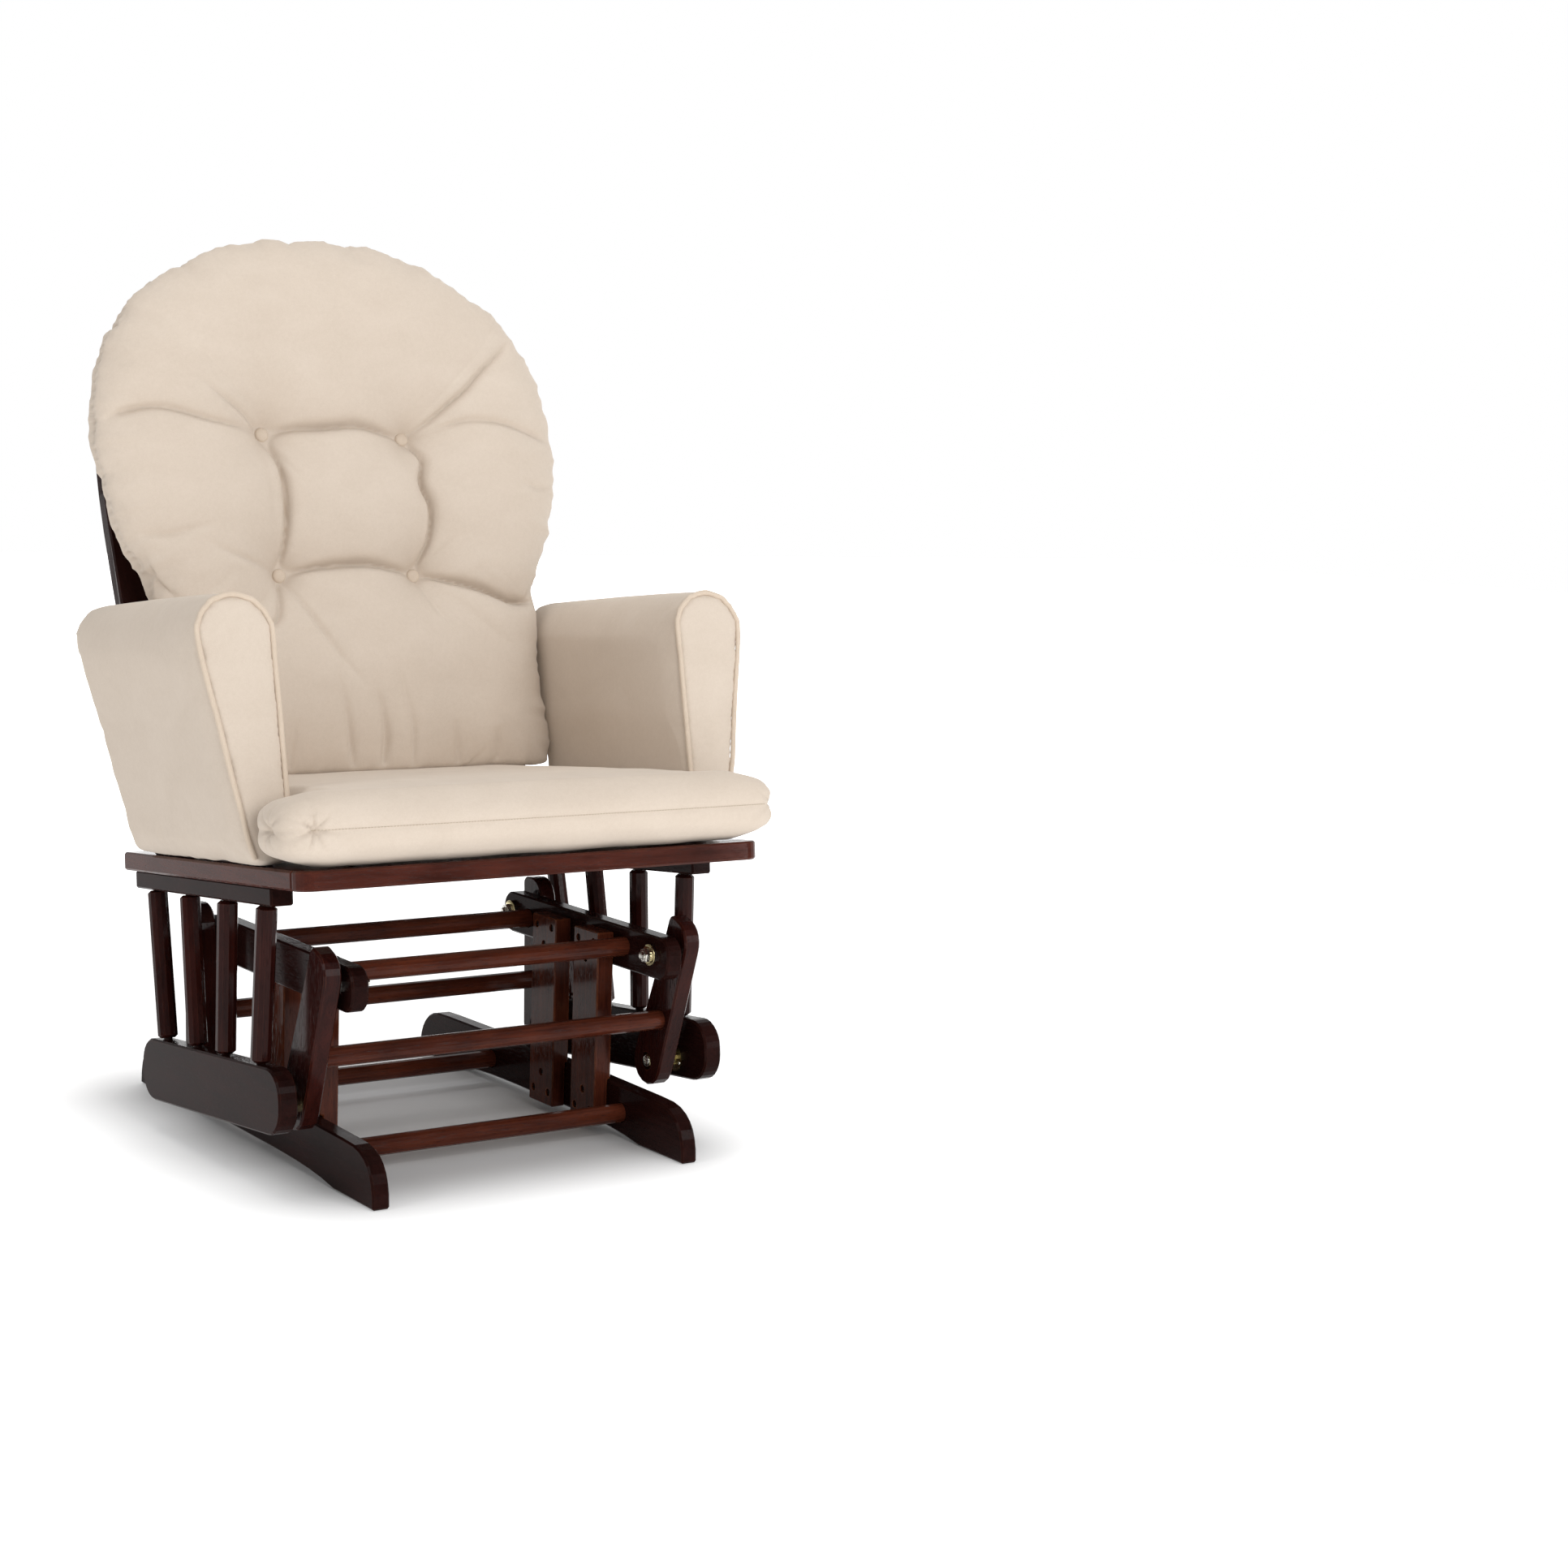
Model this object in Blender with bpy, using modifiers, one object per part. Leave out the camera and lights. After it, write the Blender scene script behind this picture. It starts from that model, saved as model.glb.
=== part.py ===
"""Glider nursery chair: fixed base, two pairs of swing links, hanging seat frame, soft parts.

Metres, +Z up, front towards -Y, floor at z = 0.  The seat frame hangs leaning back a few
degrees, so its parts are drawn level and share one rotation.
"""
import math

import bmesh
import bpy
from mathutils import Matrix, Vector

for old in list(bpy.data.objects):
    bpy.data.objects.remove(old, do_unlink=True)

# ---------------------------------------------------------------- driving dimensions
GAP = 0.0003                  # clearance between glued parts
BOARD = 0.020                 # thickness of feet and hanger beams
DOWEL_R = 0.0115              # cross rods and spindles
SOCKET = 0.008                # depth of a rod's socket

FOOT_LEN, FOOT_H = 0.6366, 0.0625
FOOT_X = 0.1828               # inner face of a foot
PAD_LEN, ARCH_H = 0.096, 0.0095

BEAM_X = 0.1865               # inner face of a hanger beam
BEAM_Y = (-0.2704, 0.1066)
BEAM_Z = (0.1993, 0.2489)
POST_T = 0.022
POST_Z = (0.0100, 0.2392)
POST_Y = {"front": (-0.1552, -0.1006), "rear": (-0.0580, -0.0034)}

LINK_X, LINK_T = 0.2147, 0.0206
PIVOT_TOP = {"front": (-0.2372, 0.2265), "rear": (0.0839, 0.2265)}
PIVOT_LOW = {"front": (-0.1877, 0.0890), "rear": (0.0737, 0.0807)}
LINK_ROD = {"front": (-0.2135, 0.1435), "rear": (0.0740, 0.1390)}
LINK_TOP_R, LINK_LOW_R = 0.0225, 0.0280
LINK_HEAD = 0.0385            # height of a link's head above its top pivot
BOLT_R, BORE_R = 0.0048, 0.0051
LOOSE_BORE_R = 0.0064         # front lower bore, the free one of the four-bar loop

ROD_LOW = {"front": (-0.1849, 0.0300), "rear": (0.1240, 0.0300)}
ROD_UP = {"front": (-0.1782, 0.2262), "rear": (0.0465, 0.2224)}

TILT = math.radians(5.69)     # backward lean of the hanging seat frame
TILT_Z = 0.19                 # height of the axis it is drawn about

RAIL_X, RAIL_T = 0.2565, 0.022
RAIL_Y = (-0.2400, 0.1340)
RAIL_Z = (0.0473, 0.1185)
TOP_RAIL_X = (0.2502, 0.2765)
TOP_RAIL_Y = (-0.2313, 0.1412)
TOP_RAIL_Z = (0.2899, 0.3102)
SPINDLE_X = 0.2642
SPINDLE_TOP_Y = (-0.1936, -0.0917, 0.0122, 0.1068)
SPINDLE_LOW_Y = (-0.1735, -0.0808, -0.0031, 0.0819)

SEAT_Z = (0.3105, 0.3316)
SEAT_W = 0.2845               # half width of the seat boards
SEAT_Y = (-0.3250, 0.1550)
SEAT_JOINT_Y = -0.3000        # where the side boards meet the front board
SEAT_OPEN = (0.2120, -0.2220, 0.0800)
SPRING_X = (-0.110, 0.0, 0.110)
SPRING_WIRE, SPRING_AMP, SPRING_WAVES = 0.0019, 0.021, 6

BACK_LEAN = math.radians(15.0)
BACK_Y, BACK_Z = 0.0999, 0.3370   # foot of the back's middle plane
FRAME_D = (0.0530, 0.0730)        # wooden back frame, behind the middle plane
SLAT_D = (0.0580, 0.0680)
SLAT_X = (-0.135, -0.045, 0.045, 0.135)
SLAT_HALF = 0.020

ARM_IN, ARM_OUT_LOW, ARM_OUT_TOP = 0.2500, 0.3000, 0.3420
ARM_Z = (0.3322, 0.6220)
PANEL_LOW, PANEL_TOP, PANEL_T = 0.2625, 0.2870, 0.018

CUSHION_Z = (0.3322, 0.4160)
CUSHION_HALF, EAR_HALF = 0.2460, 0.3080
CUSHION_Y = (-0.3420, 0.1300)
EAR_REAR = -0.2480
BACK_HALF_T = 0.050

ORIGIN_Y = -0.0113            # moves the whole chair, so that its overall box is centred

DARK = (0.030, 0.012, 0.010)
RED = (0.060, 0.020, 0.014)
CLOTH = (0.72, 0.62, 0.51)
ZINC = (0.62, 0.60, 0.52)

# ---------------------------------------------------------------- scene helpers
parts = bpy.data.collections.new("glider_nursery_chair")
cutters = bpy.data.collections.new("cutters")
for coll in (parts, cutters):
    bpy.context.scene.collection.children.link(coll)


def material(name, colour, rough, metal):
    mat = bpy.data.materials.new(name)
    mat.use_nodes = True
    bsdf = mat.node_tree.nodes["Principled BSDF"]
    bsdf.inputs["Base Color"].default_value = (*colour, 1.0)
    bsdf.inputs["Roughness"].default_value = rough
    bsdf.inputs["Metallic"].default_value = metal
    return mat


LOOKS = {"dark": (DARK, 0.32, 0.0), "red": (RED, 0.30, 0.0),
         "cloth": (CLOTH, 0.92, 0.0), "zinc": (ZINC, 0.28, 1.0)}

TILT_M = (Matrix.Translation((0, 0, TILT_Z)) @ Matrix.Rotation(-TILT, 4, "X")
          @ Matrix.Translation((0, 0, -TILT_Z)))
BACK_M = (Matrix.Translation((0, BACK_Y, BACK_Z)) @ Matrix.Rotation(-BACK_LEAN, 4, "X"))
LEVEL = Matrix.Identity(4)


def pivot(name, yz, matrix=LEVEL):
    """Empty on a joint axis; everything that turns with it hangs from it."""
    empty = bpy.data.objects.new(name, None)
    parts.objects.link(empty)
    empty.empty_display_size = 0.05
    empty.matrix_world = Matrix.Translation((0, yz[0], yz[1])) @ matrix
    return empty


BODIES = {
    "base": pivot("base_origin", (0, 0)),
    "front_links": pivot("front_links_axis", PIVOT_TOP["front"]),
    "rear_links": pivot("rear_links_axis", PIVOT_TOP["rear"]),
    "seat": pivot("seat_axis", PIVOT_LOW["rear"]),
}
bpy.context.view_layer.update()


def finish_object(ob, look, body, matrix):
    """File a modelled object as a part of one body, or as a cutter when body is None."""
    if body is None:
        cutters.objects.link(ob)
        ob.hide_render = True
        ob.display_type = "WIRE"
        ob.matrix_world = matrix
        return ob
    parts.objects.link(ob)
    ob.data.materials.clear()
    ob.data.materials.append(material(ob.name, *LOOKS[look]))
    ob.parent = BODIES[body]
    ob.matrix_parent_inverse = BODIES[body].matrix_world.inverted()
    ob.matrix_basis = matrix
    return ob


# how a flat outline's own x, y and thickness lie once it faces along each axis
FACING = {"X": Matrix(((0, 0, 1, 0), (1, 0, 0, 0), (0, 1, 0, 0), (0, 0, 0, 1))),
          "Y": Matrix(((1, 0, 0, 0), (0, 0, -1, 0), (0, 1, 0, 0), (0, 0, 0, 1))),
          "Z": Matrix.Identity(4)}


def prism(name, outline, axis, low, high, look="dark", body=None, matrix=LEVEL):
    """Flat board cut to an outline.  X takes (y, z), Y takes (x, z), Z takes (x, y)."""
    data = bpy.data.curves.new(name + "_outline", "CURVE")
    data.dimensions = "2D"
    data.fill_mode = "BOTH"
    data.extrude = (high - low) / 2
    line = data.splines.new("POLY")
    line.points.add(len(outline) - 1)
    for point, (a, b) in zip(line.points, outline):
        point.co = (a, b, 0, 1)
    line.use_cyclic_u = True
    flat = bpy.data.objects.new(name + "_outline", data)
    cutters.objects.link(flat)
    bpy.context.view_layer.update()
    graph = bpy.context.evaluated_depsgraph_get()
    mesh = bpy.data.meshes.new_from_object(flat.evaluated_get(graph))
    bpy.data.objects.remove(flat, do_unlink=True)
    middle = {"X": ((low + high) / 2, 0, 0), "Y": (0, (low + high) / 2, 0),
              "Z": (0, 0, (low + high) / 2)}[axis]
    mesh.transform(Matrix.Translation(middle) @ FACING[axis])
    mesh.name = name
    bm = bmesh.new()
    bm.from_mesh(mesh)
    bmesh.ops.remove_doubles(bm, verts=bm.verts, dist=0.00001)
    bmesh.ops.dissolve_limit(bm, angle_limit=math.radians(0.5), verts=bm.verts,
                             edges=bm.edges)
    bmesh.ops.recalc_face_normals(bm, faces=bm.faces)
    bm.to_mesh(mesh)
    bm.free()
    return finish_object(bpy.data.objects.new(name, mesh), look, body, matrix)


def box(name, x, y, z, look="dark", body=None, matrix=LEVEL):
    bm = bmesh.new()
    bmesh.ops.create_cube(bm, size=1.0)
    size = (x[1] - x[0], y[1] - y[0], z[1] - z[0])
    bmesh.ops.scale(bm, vec=size, verts=bm.verts)
    bmesh.ops.translate(bm, vec=((x[0] + x[1]) / 2, (y[0] + y[1]) / 2, (z[0] + z[1]) / 2),
                        verts=bm.verts)
    mesh = bpy.data.meshes.new(name)
    bm.to_mesh(mesh)
    bm.free()
    return finish_object(bpy.data.objects.new(name, mesh), look, body, matrix)


def rect(a, b):
    return [(a[0], b[0]), (a[1], b[0]), (a[1], b[1]), (a[0], b[1])]


def aim(start, end):
    """Placement that turns local +Z from start towards end."""
    start, end = Vector(start), Vector(end)
    turn = (end - start).to_track_quat("Z", "Y").to_matrix().to_4x4()
    return Matrix.Translation(start) @ turn


def turned(name, start, end, profile, look="dark", body=None, matrix=LEVEL, sides=16):
    """Lathe piece along start to end; profile is (distance, radius) from the start."""
    line = [(0.0, profile[-1][0])] + [(r, d) for d, r in profile[::-1]]
    line.append((0.0, profile[0][0]))
    mesh = bpy.data.meshes.new(name)
    mesh.from_pydata([(r, 0, d) for r, d in line],
                     [(i, i + 1) for i in range(len(line) - 1)], [])
    ob = finish_object(bpy.data.objects.new(name, mesh), look, body,
                       matrix @ aim(start, end))
    mod = ob.modifiers.new("turning", "SCREW")
    mod.axis = "Z"
    mod.angle = 2 * math.pi
    mod.steps = mod.render_steps = sides
    mod.use_merge_vertices = True
    mod.merge_threshold = 0.00001
    mod.use_smooth_shade = True
    return ob


def bar(name, start, end, radius, sides, matrix=LEVEL):
    """Round cutter between two points."""
    bm = bmesh.new()
    length = (Vector(end) - Vector(start)).length
    bmesh.ops.create_cone(bm, cap_ends=True, segments=sides, radius1=radius,
                          radius2=radius, depth=length)
    bmesh.ops.translate(bm, vec=(0, 0, length / 2), verts=bm.verts)
    mesh = bpy.data.meshes.new(name)
    bm.to_mesh(mesh)
    bm.free()
    return finish_object(bpy.data.objects.new(name, mesh), None, None,
                         matrix @ aim(start, end))


def ease(ob, width=0.0015, segments=1, angle=40):
    mod = ob.modifiers.new("eased_edges", "BEVEL")
    mod.width = width
    mod.segments = segments
    mod.limit_method = "ANGLE"
    mod.angle_limit = math.radians(angle)
    mod.use_clamp_overlap = True
    return ob


def cut(ob, tool):
    mod = ob.modifiers.new("cut_" + tool.name, "BOOLEAN")
    mod.operation = "DIFFERENCE"
    mod.solver = "EXACT"
    mod.object = tool
    return ob


def drill(ob, x0, x1, yz, radius, matrix=LEVEL, sides=16):
    """Round hole along X between x0 and x1."""
    wall = radius / math.cos(math.pi / sides)
    name = "bore_%s_%d" % (ob.name, len(ob.modifiers))
    return cut(ob, bar(name, (x0, *yz), (x1, *yz), wall, sides, matrix))


def arc(cx, cy, rx, ry, a0, a1, steps):
    out = []
    for i in range(steps + 1):
        a = math.radians(a0 + (a1 - a0) * i / steps)
        out.append((cx + rx * math.cos(a), cy + ry * math.sin(a)))
    return out


SIDES = {"left": -1, "right": 1}


def span(sign, a, b):
    """x interval from a to b on the given side, low value first."""
    return tuple(sorted((sign * a, sign * b)))


# ---------------------------------------------------------------- base
def foot_outline():
    half = FOOT_LEN / 2
    toe = []
    for i in range(9):
        t = math.radians(90 * i / 8)
        toe.append((half - 0.075 * (1 - math.cos(t) ** 0.62),
                    (FOOT_H - 0.0015) * math.sin(t) ** 0.85))
    arch = []
    for i in range(8):
        y = (half - PAD_LEN) * (1 - i / 7.0)
        arch.append((y, ARCH_H * (1 - (y / (half - PAD_LEN)) ** 4)))
    right_half = arch[::-1] + toe
    left_half = [(-y, z) for y, z in right_half[::-1]]
    return right_half + [(0.12, FOOT_H), (-0.12, FOOT_H)] + left_half[:-1]


def rounded(ya, yb, za, zb, r, steps=5):
    pts = arc(yb - r, za + r, r, r, -90, 0, steps) + arc(yb - r, zb - r, r, r, 0, 90, steps)
    return pts + arc(ya + r, zb - r, r, r, 90, 180, steps) + arc(ya + r, za + r, r, r,
                                                                 180, 270, steps)


def screw_triangle(ob, sign, yc, zc, flip):
    for dy, dz in ((-0.017, 0.010 * flip), (0.017, 0.010 * flip), (0.0, -0.012 * flip)):
        inner = BEAM_X - POST_T
        drill(ob, sign * (inner - 0.002), sign * (inner + 0.004), (yc + dy, zc + dz),
              0.0045, sides=8)


for side, s in SIDES.items():
    foot = prism("foot_" + side, foot_outline(), "X", *span(s, FOOT_X, FOOT_X + BOARD),
                 look="dark", body="base")
    ease(foot, 0.002)
    for end in ("front", "rear"):
        drill(foot, s * (FOOT_X - 0.002), s * (FOOT_X + SOCKET), ROD_LOW[end],
              DOWEL_R + GAP)

    beam = prism("hanger_beam_" + side, rounded(*BEAM_Y, *BEAM_Z, 0.019), "X",
                 *span(s, BEAM_X, BEAM_X + BOARD), look="dark", body="base")
    ease(beam, 0.002)
    for end in ("front", "rear"):
        drill(beam, s * (BEAM_X - 0.002), s * (BEAM_X + SOCKET), ROD_UP[end],
              DOWEL_R + GAP)
        drill(beam, s * (BEAM_X - 0.002), s * (BEAM_X + BOARD + 0.002), PIVOT_TOP[end],
              BORE_R)

    for end, (y0, y1) in POST_Y.items():
        step = FOOT_X - GAP
        outer = BEAM_X - GAP
        inner = BEAM_X - POST_T
        notch_z = FOOT_H + 0.0010
        shape = [(inner, POST_Z[0]), (step, POST_Z[0]), (step, notch_z), (outer, notch_z),
                 (outer, POST_Z[1]), (inner, POST_Z[1])]
        post = prism("post_%s_%s" % (end, side), [(s * x, z) for x, z in shape], "Y",
                     y0, y1, look="red", body="base")
        ease(post, 0.0012)
        screw_triangle(post, s, (y0 + y1) / 2, POST_Z[1] - 0.022, 1)
        screw_triangle(post, s, (y0 + y1) / 2, POST_Z[0] + 0.026, -1)


def rod(name, x_face, yz, body, look="red"):
    end = x_face + SOCKET - 0.0005
    turned(name, (-end, *yz), (end, *yz), [(0, DOWEL_R - 0.001), (0.001, DOWEL_R - GAP),
           (2 * end - 0.001, DOWEL_R - GAP), (2 * end, DOWEL_R - 0.001)], look, body)


for end in ("front", "rear"):
    rod("rod_lower_" + end, FOOT_X, ROD_LOW[end], "base")
    rod("rod_upper_" + end, BEAM_X, ROD_UP[end], "base")


# ---------------------------------------------------------------- swing links
def link_outline(end):
    """Tapered bar in (y, z): tall head rounded at the front, wider rounded foot."""
    top, low = Vector(PIVOT_TOP[end]), Vector(PIVOT_LOW[end])
    axis = (top - low).normalized()
    across = Vector((axis.y, -axis.x))      # towards +Y
    head = [(LINK_TOP_R, 0.0)] + arc(LINK_TOP_R - 0.007, LINK_HEAD - 0.007, 0.007, 0.007,
                                     0, 90, 3)
    head += arc(-LINK_TOP_R + 0.025, LINK_HEAD - 0.029, 0.025, 0.029, 90, 180, 6)
    pts = [top + across * u + axis * v for u, v in head]
    for i in range(9):
        a = math.radians(180 + i * 22.5)
        pts.append(low + across * (math.cos(a) * LINK_LOW_R)
                   + axis * (math.sin(a) * LINK_LOW_R))
    return [(p.x, p.y) for p in pts]


for side, s in SIDES.items():
    for end in ("front", "rear"):
        body = end + "_links"
        link = prism("link_%s_%s" % (end, side), link_outline(end), "X",
                     *span(s, LINK_X, LINK_X + LINK_T), look="dark", body=body)
        ease(link, 0.002)
        drill(link, s * (LINK_X - 0.002), s * (LINK_X + SOCKET), LINK_ROD[end],
              DOWEL_R + GAP)
        drill(link, s * (LINK_X - 0.002), s * (LINK_X + 0.0165), PIVOT_TOP[end], BORE_R)
        bore = BORE_R if end == "rear" else LOOSE_BORE_R
        drill(link, s * (LINK_X - 0.002), s * (LINK_X + 0.0065), PIVOT_LOW[end], 0.0105)
        drill(link, s * (LINK_X - 0.002), s * (LINK_X + LINK_T + 0.002), PIVOT_LOW[end],
              bore)

for end in ("front", "rear"):
    rod("rod_link_" + end, LINK_X, LINK_ROD[end], end + "_links")


# ---------------------------------------------------------------- pivot bolts
def level_to_seat(yz):
    """The same point in the seat frame's own level drawing."""
    p = TILT_M.inverted() @ Vector((0, *yz))
    return (p.y, p.z)


RAIL_HOLE = {end: level_to_seat(PIVOT_LOW[end]) for end in PIVOT_LOW}

for side, s in SIDES.items():
    for end in ("front", "rear"):
        nut = BEAM_X - 0.0130
        face = BEAM_X - GAP
        outer = BEAM_X + BOARD + GAP
        profile = [(0.0, 0.0042), (0.0008, 0.0050), (0.0040, 0.0050), (0.0042, 0.0082),
                   (face - nut - 0.0030, 0.0082), (face - nut - 0.0028, 0.0120),
                   (face - nut, 0.0120), (face - nut, BOLT_R),
                   (outer - nut, BOLT_R), (outer - nut, 0.0110),
                   (LINK_X - GAP - nut, 0.0110), (LINK_X - GAP - nut, BOLT_R),
                   (LINK_X + 0.0150 - nut, BOLT_R)]
        yz = PIVOT_TOP[end]
        turned("bolt_top_%s_%s" % (end, side), (s * nut, *yz), (s * 0.3, *yz), profile,
               "zinc", "base", sides=12)

        head = LINK_X + 0.0006
        seat_of_head = LINK_X + 0.0062
        leave = LINK_X + LINK_T + GAP
        rail = RAIL_X - GAP
        profile = [(0.0, 0.0060), (0.0006, 0.0080), (seat_of_head - head, 0.0080),
                   (seat_of_head - head, BOLT_R),
                   (leave - head, BOLT_R), (leave - head, 0.0085),
                   (rail - head - 0.0030, 0.0085), (rail - head - 0.0028, 0.0165),
                   (rail - head, 0.0165), (rail - head, BOLT_R),
                   (rail - head + 0.0130, BOLT_R)]
        yz = PIVOT_LOW[end]
        turned("bolt_low_%s_%s" % (end, side), (s * head, *yz), (s * 0.3, *yz), profile,
               "zinc", "seat", sides=12)

# ---------------------------------------------------------------- seat side frames
SPINDLES = list(zip("abcd", SPINDLE_LOW_Y, SPINDLE_TOP_Y))

for side, s in SIDES.items():
    rail = prism("lower_rail_" + side, rounded(*RAIL_Y, *RAIL_Z, 0.031, 7), "X",
                 *span(s, RAIL_X, RAIL_X + RAIL_T), look="dark", body="seat",
                 matrix=TILT_M)
    ease(rail, 0.002)
    top_rail = box("upper_rail_" + side, span(s, *TOP_RAIL_X), TOP_RAIL_Y, TOP_RAIL_Z,
                   "dark", "seat", TILT_M)
    ease(top_rail, 0.002)
    for end in ("front", "rear"):
        drill(rail, s * (RAIL_X - 0.002), s * (RAIL_X + 0.0140), RAIL_HOLE[end], BORE_R,
              TILT_M)
    for letter, y_low, y_top in SPINDLES:
        x_low, x_top = s * (RAIL_X + RAIL_T / 2), s * SPINDLE_X
        low = Vector((x_low, y_low, RAIL_Z[1] + 0.0018))
        top = Vector((x_top, y_top, TOP_RAIL_Z[0] - 0.0018))
        way = (top - low).normalized()
        tenon, length = 0.0100, (top - low).length
        total = length + 2 * tenon
        profile = [(0, 0.0050), (tenon, 0.0050), (tenon, 0.0080),
                   (tenon + 0.0030, DOWEL_R), (total - tenon - 0.0030, DOWEL_R),
                   (total - tenon, 0.0080), (total - tenon, 0.0050),
                   (total, 0.0050)]
        turned("spindle_%s_%s" % (letter, side), low - way * tenon, top + way * tenon,
               profile, "red", "seat", TILT_M, 12)
        for board, point, sign in ((rail, low, -1), (top_rail, top, 1)):
            deep = point + way * sign * (tenon + 0.0006)
            mouth = point - way * sign * 0.004
            tool = bar("mortise_%s_%s" % (letter, board.name), mouth, deep, 0.0057, 8,
                       TILT_M)
            cut(board, tool)

# ---------------------------------------------------------------- seat boards and springs
open_x, open_y0, open_y1 = SEAT_OPEN
corner = 0.020
tongue = open_x - GAP
half_front = (arc(SEAT_W - corner, SEAT_Y[0] + corner, corner, corner, 270, 360, 6)
              + [(SEAT_W, SEAT_JOINT_Y), (tongue, SEAT_JOINT_Y), (tongue, open_y0)])
front = half_front + [(-x, y) for x, y in half_front[::-1]]
front_board = prism("seat_board_front", front, "Z", *SEAT_Z, look="dark", body="seat",
                    matrix=TILT_M)
rear_board = box("seat_board_rear", (-tongue, tongue), (open_y1, SEAT_Y[1]), SEAT_Z,
                 "dark", "seat", TILT_M)
ease(front_board, 0.0020)
ease(rear_board, 0.0025)
for side, s in SIDES.items():
    board = box("seat_board_" + side, span(s, open_x, SEAT_W),
                (SEAT_JOINT_Y + GAP, SEAT_Y[1]), SEAT_Z, "dark", "seat", TILT_M)
    ease(board, 0.0024)

for number, x in enumerate(SPRING_X):
    mid_z = (SEAT_Z[0] + SEAT_Z[1]) / 2
    a, b = open_y0 - 0.008, open_y1 + 0.008
    wire = bpy.data.curves.new("seat_spring_%d" % (number + 1), "CURVE")
    wire.dimensions = "3D"
    wire.bevel_depth = SPRING_WIRE
    wire.bevel_resolution = 1
    wire.use_fill_caps = True
    steps = SPRING_WAVES * 6
    line = wire.splines.new("POLY")
    line.points.add(steps)
    for i, point in enumerate(line.points):
        t = i / steps
        sway = math.sin(2 * math.pi * SPRING_WAVES * t) if 0.05 < t < 0.95 else 0.0
        point.co = (x + SPRING_AMP * sway, a + (b - a) * t, mid_z, 1)
    finish_object(bpy.data.objects.new(wire.name, wire), "zinc", "seat", TILT_M)
    for board, y_in, y_out in ((front_board, a - 0.0006, open_y0 + 0.003),
                               (rear_board, open_y1 - 0.003, b + 0.0006)):
        tool = bar("spring_hole_%d_%s" % (number, board.name), (x, y_in, mid_z),
                   (x, y_out, mid_z), 0.0026, 8, TILT_M)
        cut(board, tool)


# ---------------------------------------------------------------- wooden back frame
# Drawn in the back's own axes: x across, y behind the middle plane, z up the lean.
def curve(points, steps):
    """Smooth (Catmull-Rom) line through a few shape points."""
    pts = [Vector(p) for p in points]
    pts = [2 * pts[0] - pts[1]] + pts + [2 * pts[-1] - pts[-2]]
    out = []
    for i in range(1, len(pts) - 2):
        p0, p1, p2, p3 = pts[i - 1:i + 3]
        for k in range(steps):
            t = k / steps
            out.append(0.5 * (2 * p1 + (p2 - p0) * t + (2 * p0 - 5 * p1 + 4 * p2 - p3) * t * t
                              + (3 * p1 - p0 - 3 * p2 + p3) * t ** 3))
    out.append(pts[-2])
    return [(p.x, p.y) for p in out]


STILE_OUT = curve([(0.243, -0.03), (0.257, 0.17), (0.272, 0.376), (0.273, 0.480),
                   (0.263, 0.560), (0.247, 0.600)], 3)
STILE_W = 0.042
CREST_H = 0.600
board_top = box("seat_level", (-0.5, 0.5), (-0.2, 0.5), (0.0, SEAT_Z[1] + GAP),
                matrix=TILT_M)

for side, s in SIDES.items():
    inner = [(x - STILE_W, h) for x, h in STILE_OUT[::-1]]
    stile = prism("back_post_" + side, [(s * x, h) for x, h in STILE_OUT + inner], "Y",
                  *FRAME_D, look="dark", body="seat", matrix=BACK_M)
    ease(stile, 0.002)
    cut(stile, board_top)

crest_out = curve([(0.247, CREST_H + GAP), (0.230, 0.626), (0.190, 0.652), (0.110, 0.672),
                   (0.0, 0.679), (-0.110, 0.672), (-0.190, 0.652), (-0.230, 0.626),
                   (-0.247, CREST_H + GAP)], 3)
crest_in = curve([(-0.205, CREST_H + GAP), (-0.178, 0.609), (-0.10, 0.620), (0.0, 0.623),
                  (0.10, 0.620), (0.178, 0.609), (0.205, CREST_H + GAP)], 3)
crest = prism("back_crest", crest_out + crest_in, "Y", *FRAME_D, look="dark", body="seat",
              matrix=BACK_M)
ease(crest, 0.002)
half = 0.2020
low_rail = prism("back_rail", rect((-half, half), (0.100, 0.145)), "Y", *FRAME_D,
                 look="dark", body="seat", matrix=BACK_M)
ease(low_rail, 0.002)
for letter, x in zip("abcd", SLAT_X):
    slat = prism("back_slat_" + letter, rect((x - SLAT_HALF, x + SLAT_HALF), (0.136, 0.632)),
                 "Y", *SLAT_D, look="dark", body="seat", matrix=BACK_M)
    grow = 0.0004
    slot = prism("slat_slot_" + letter,
                 rect((x - SLAT_HALF - grow, x + SLAT_HALF + grow),
                      (0.136 - grow, 0.632 + grow)),
                 "Y", SLAT_D[0] - grow, SLAT_D[1] + grow, matrix=BACK_M)
    ease(slat, 0.0015, 1)
    cut(crest, slot)
    cut(low_rail, slot)


# ---------------------------------------------------------------- arms
def arm_front(z):
    return -0.2430 + 0.127 * (z - 0.338)


def arm_rear(z):
    return 0.0950 + 0.195 * (z - 0.343)


def arm_section():
    """Half outline of the padded arm in (x, z), inner side first, over the top and down."""
    low, top = ARM_Z
    shoulder = top - 0.040
    mid, rx = (ARM_IN + ARM_OUT_TOP) / 2, (ARM_OUT_TOP - ARM_IN) / 2
    pts = [(ARM_IN + 0.004, low), (ARM_IN, low + 0.006), (ARM_IN, 0.46)]
    pts += arc(mid, shoulder, rx, 0.040, 180, 0, 12)
    pts += [(0.3385, 0.545), (0.3270, 0.490), (0.3140, 0.420), (0.3030, 0.350),
            (ARM_OUT_LOW, low + 0.004), (ARM_OUT_LOW - 0.004, low)]
    return pts


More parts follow.
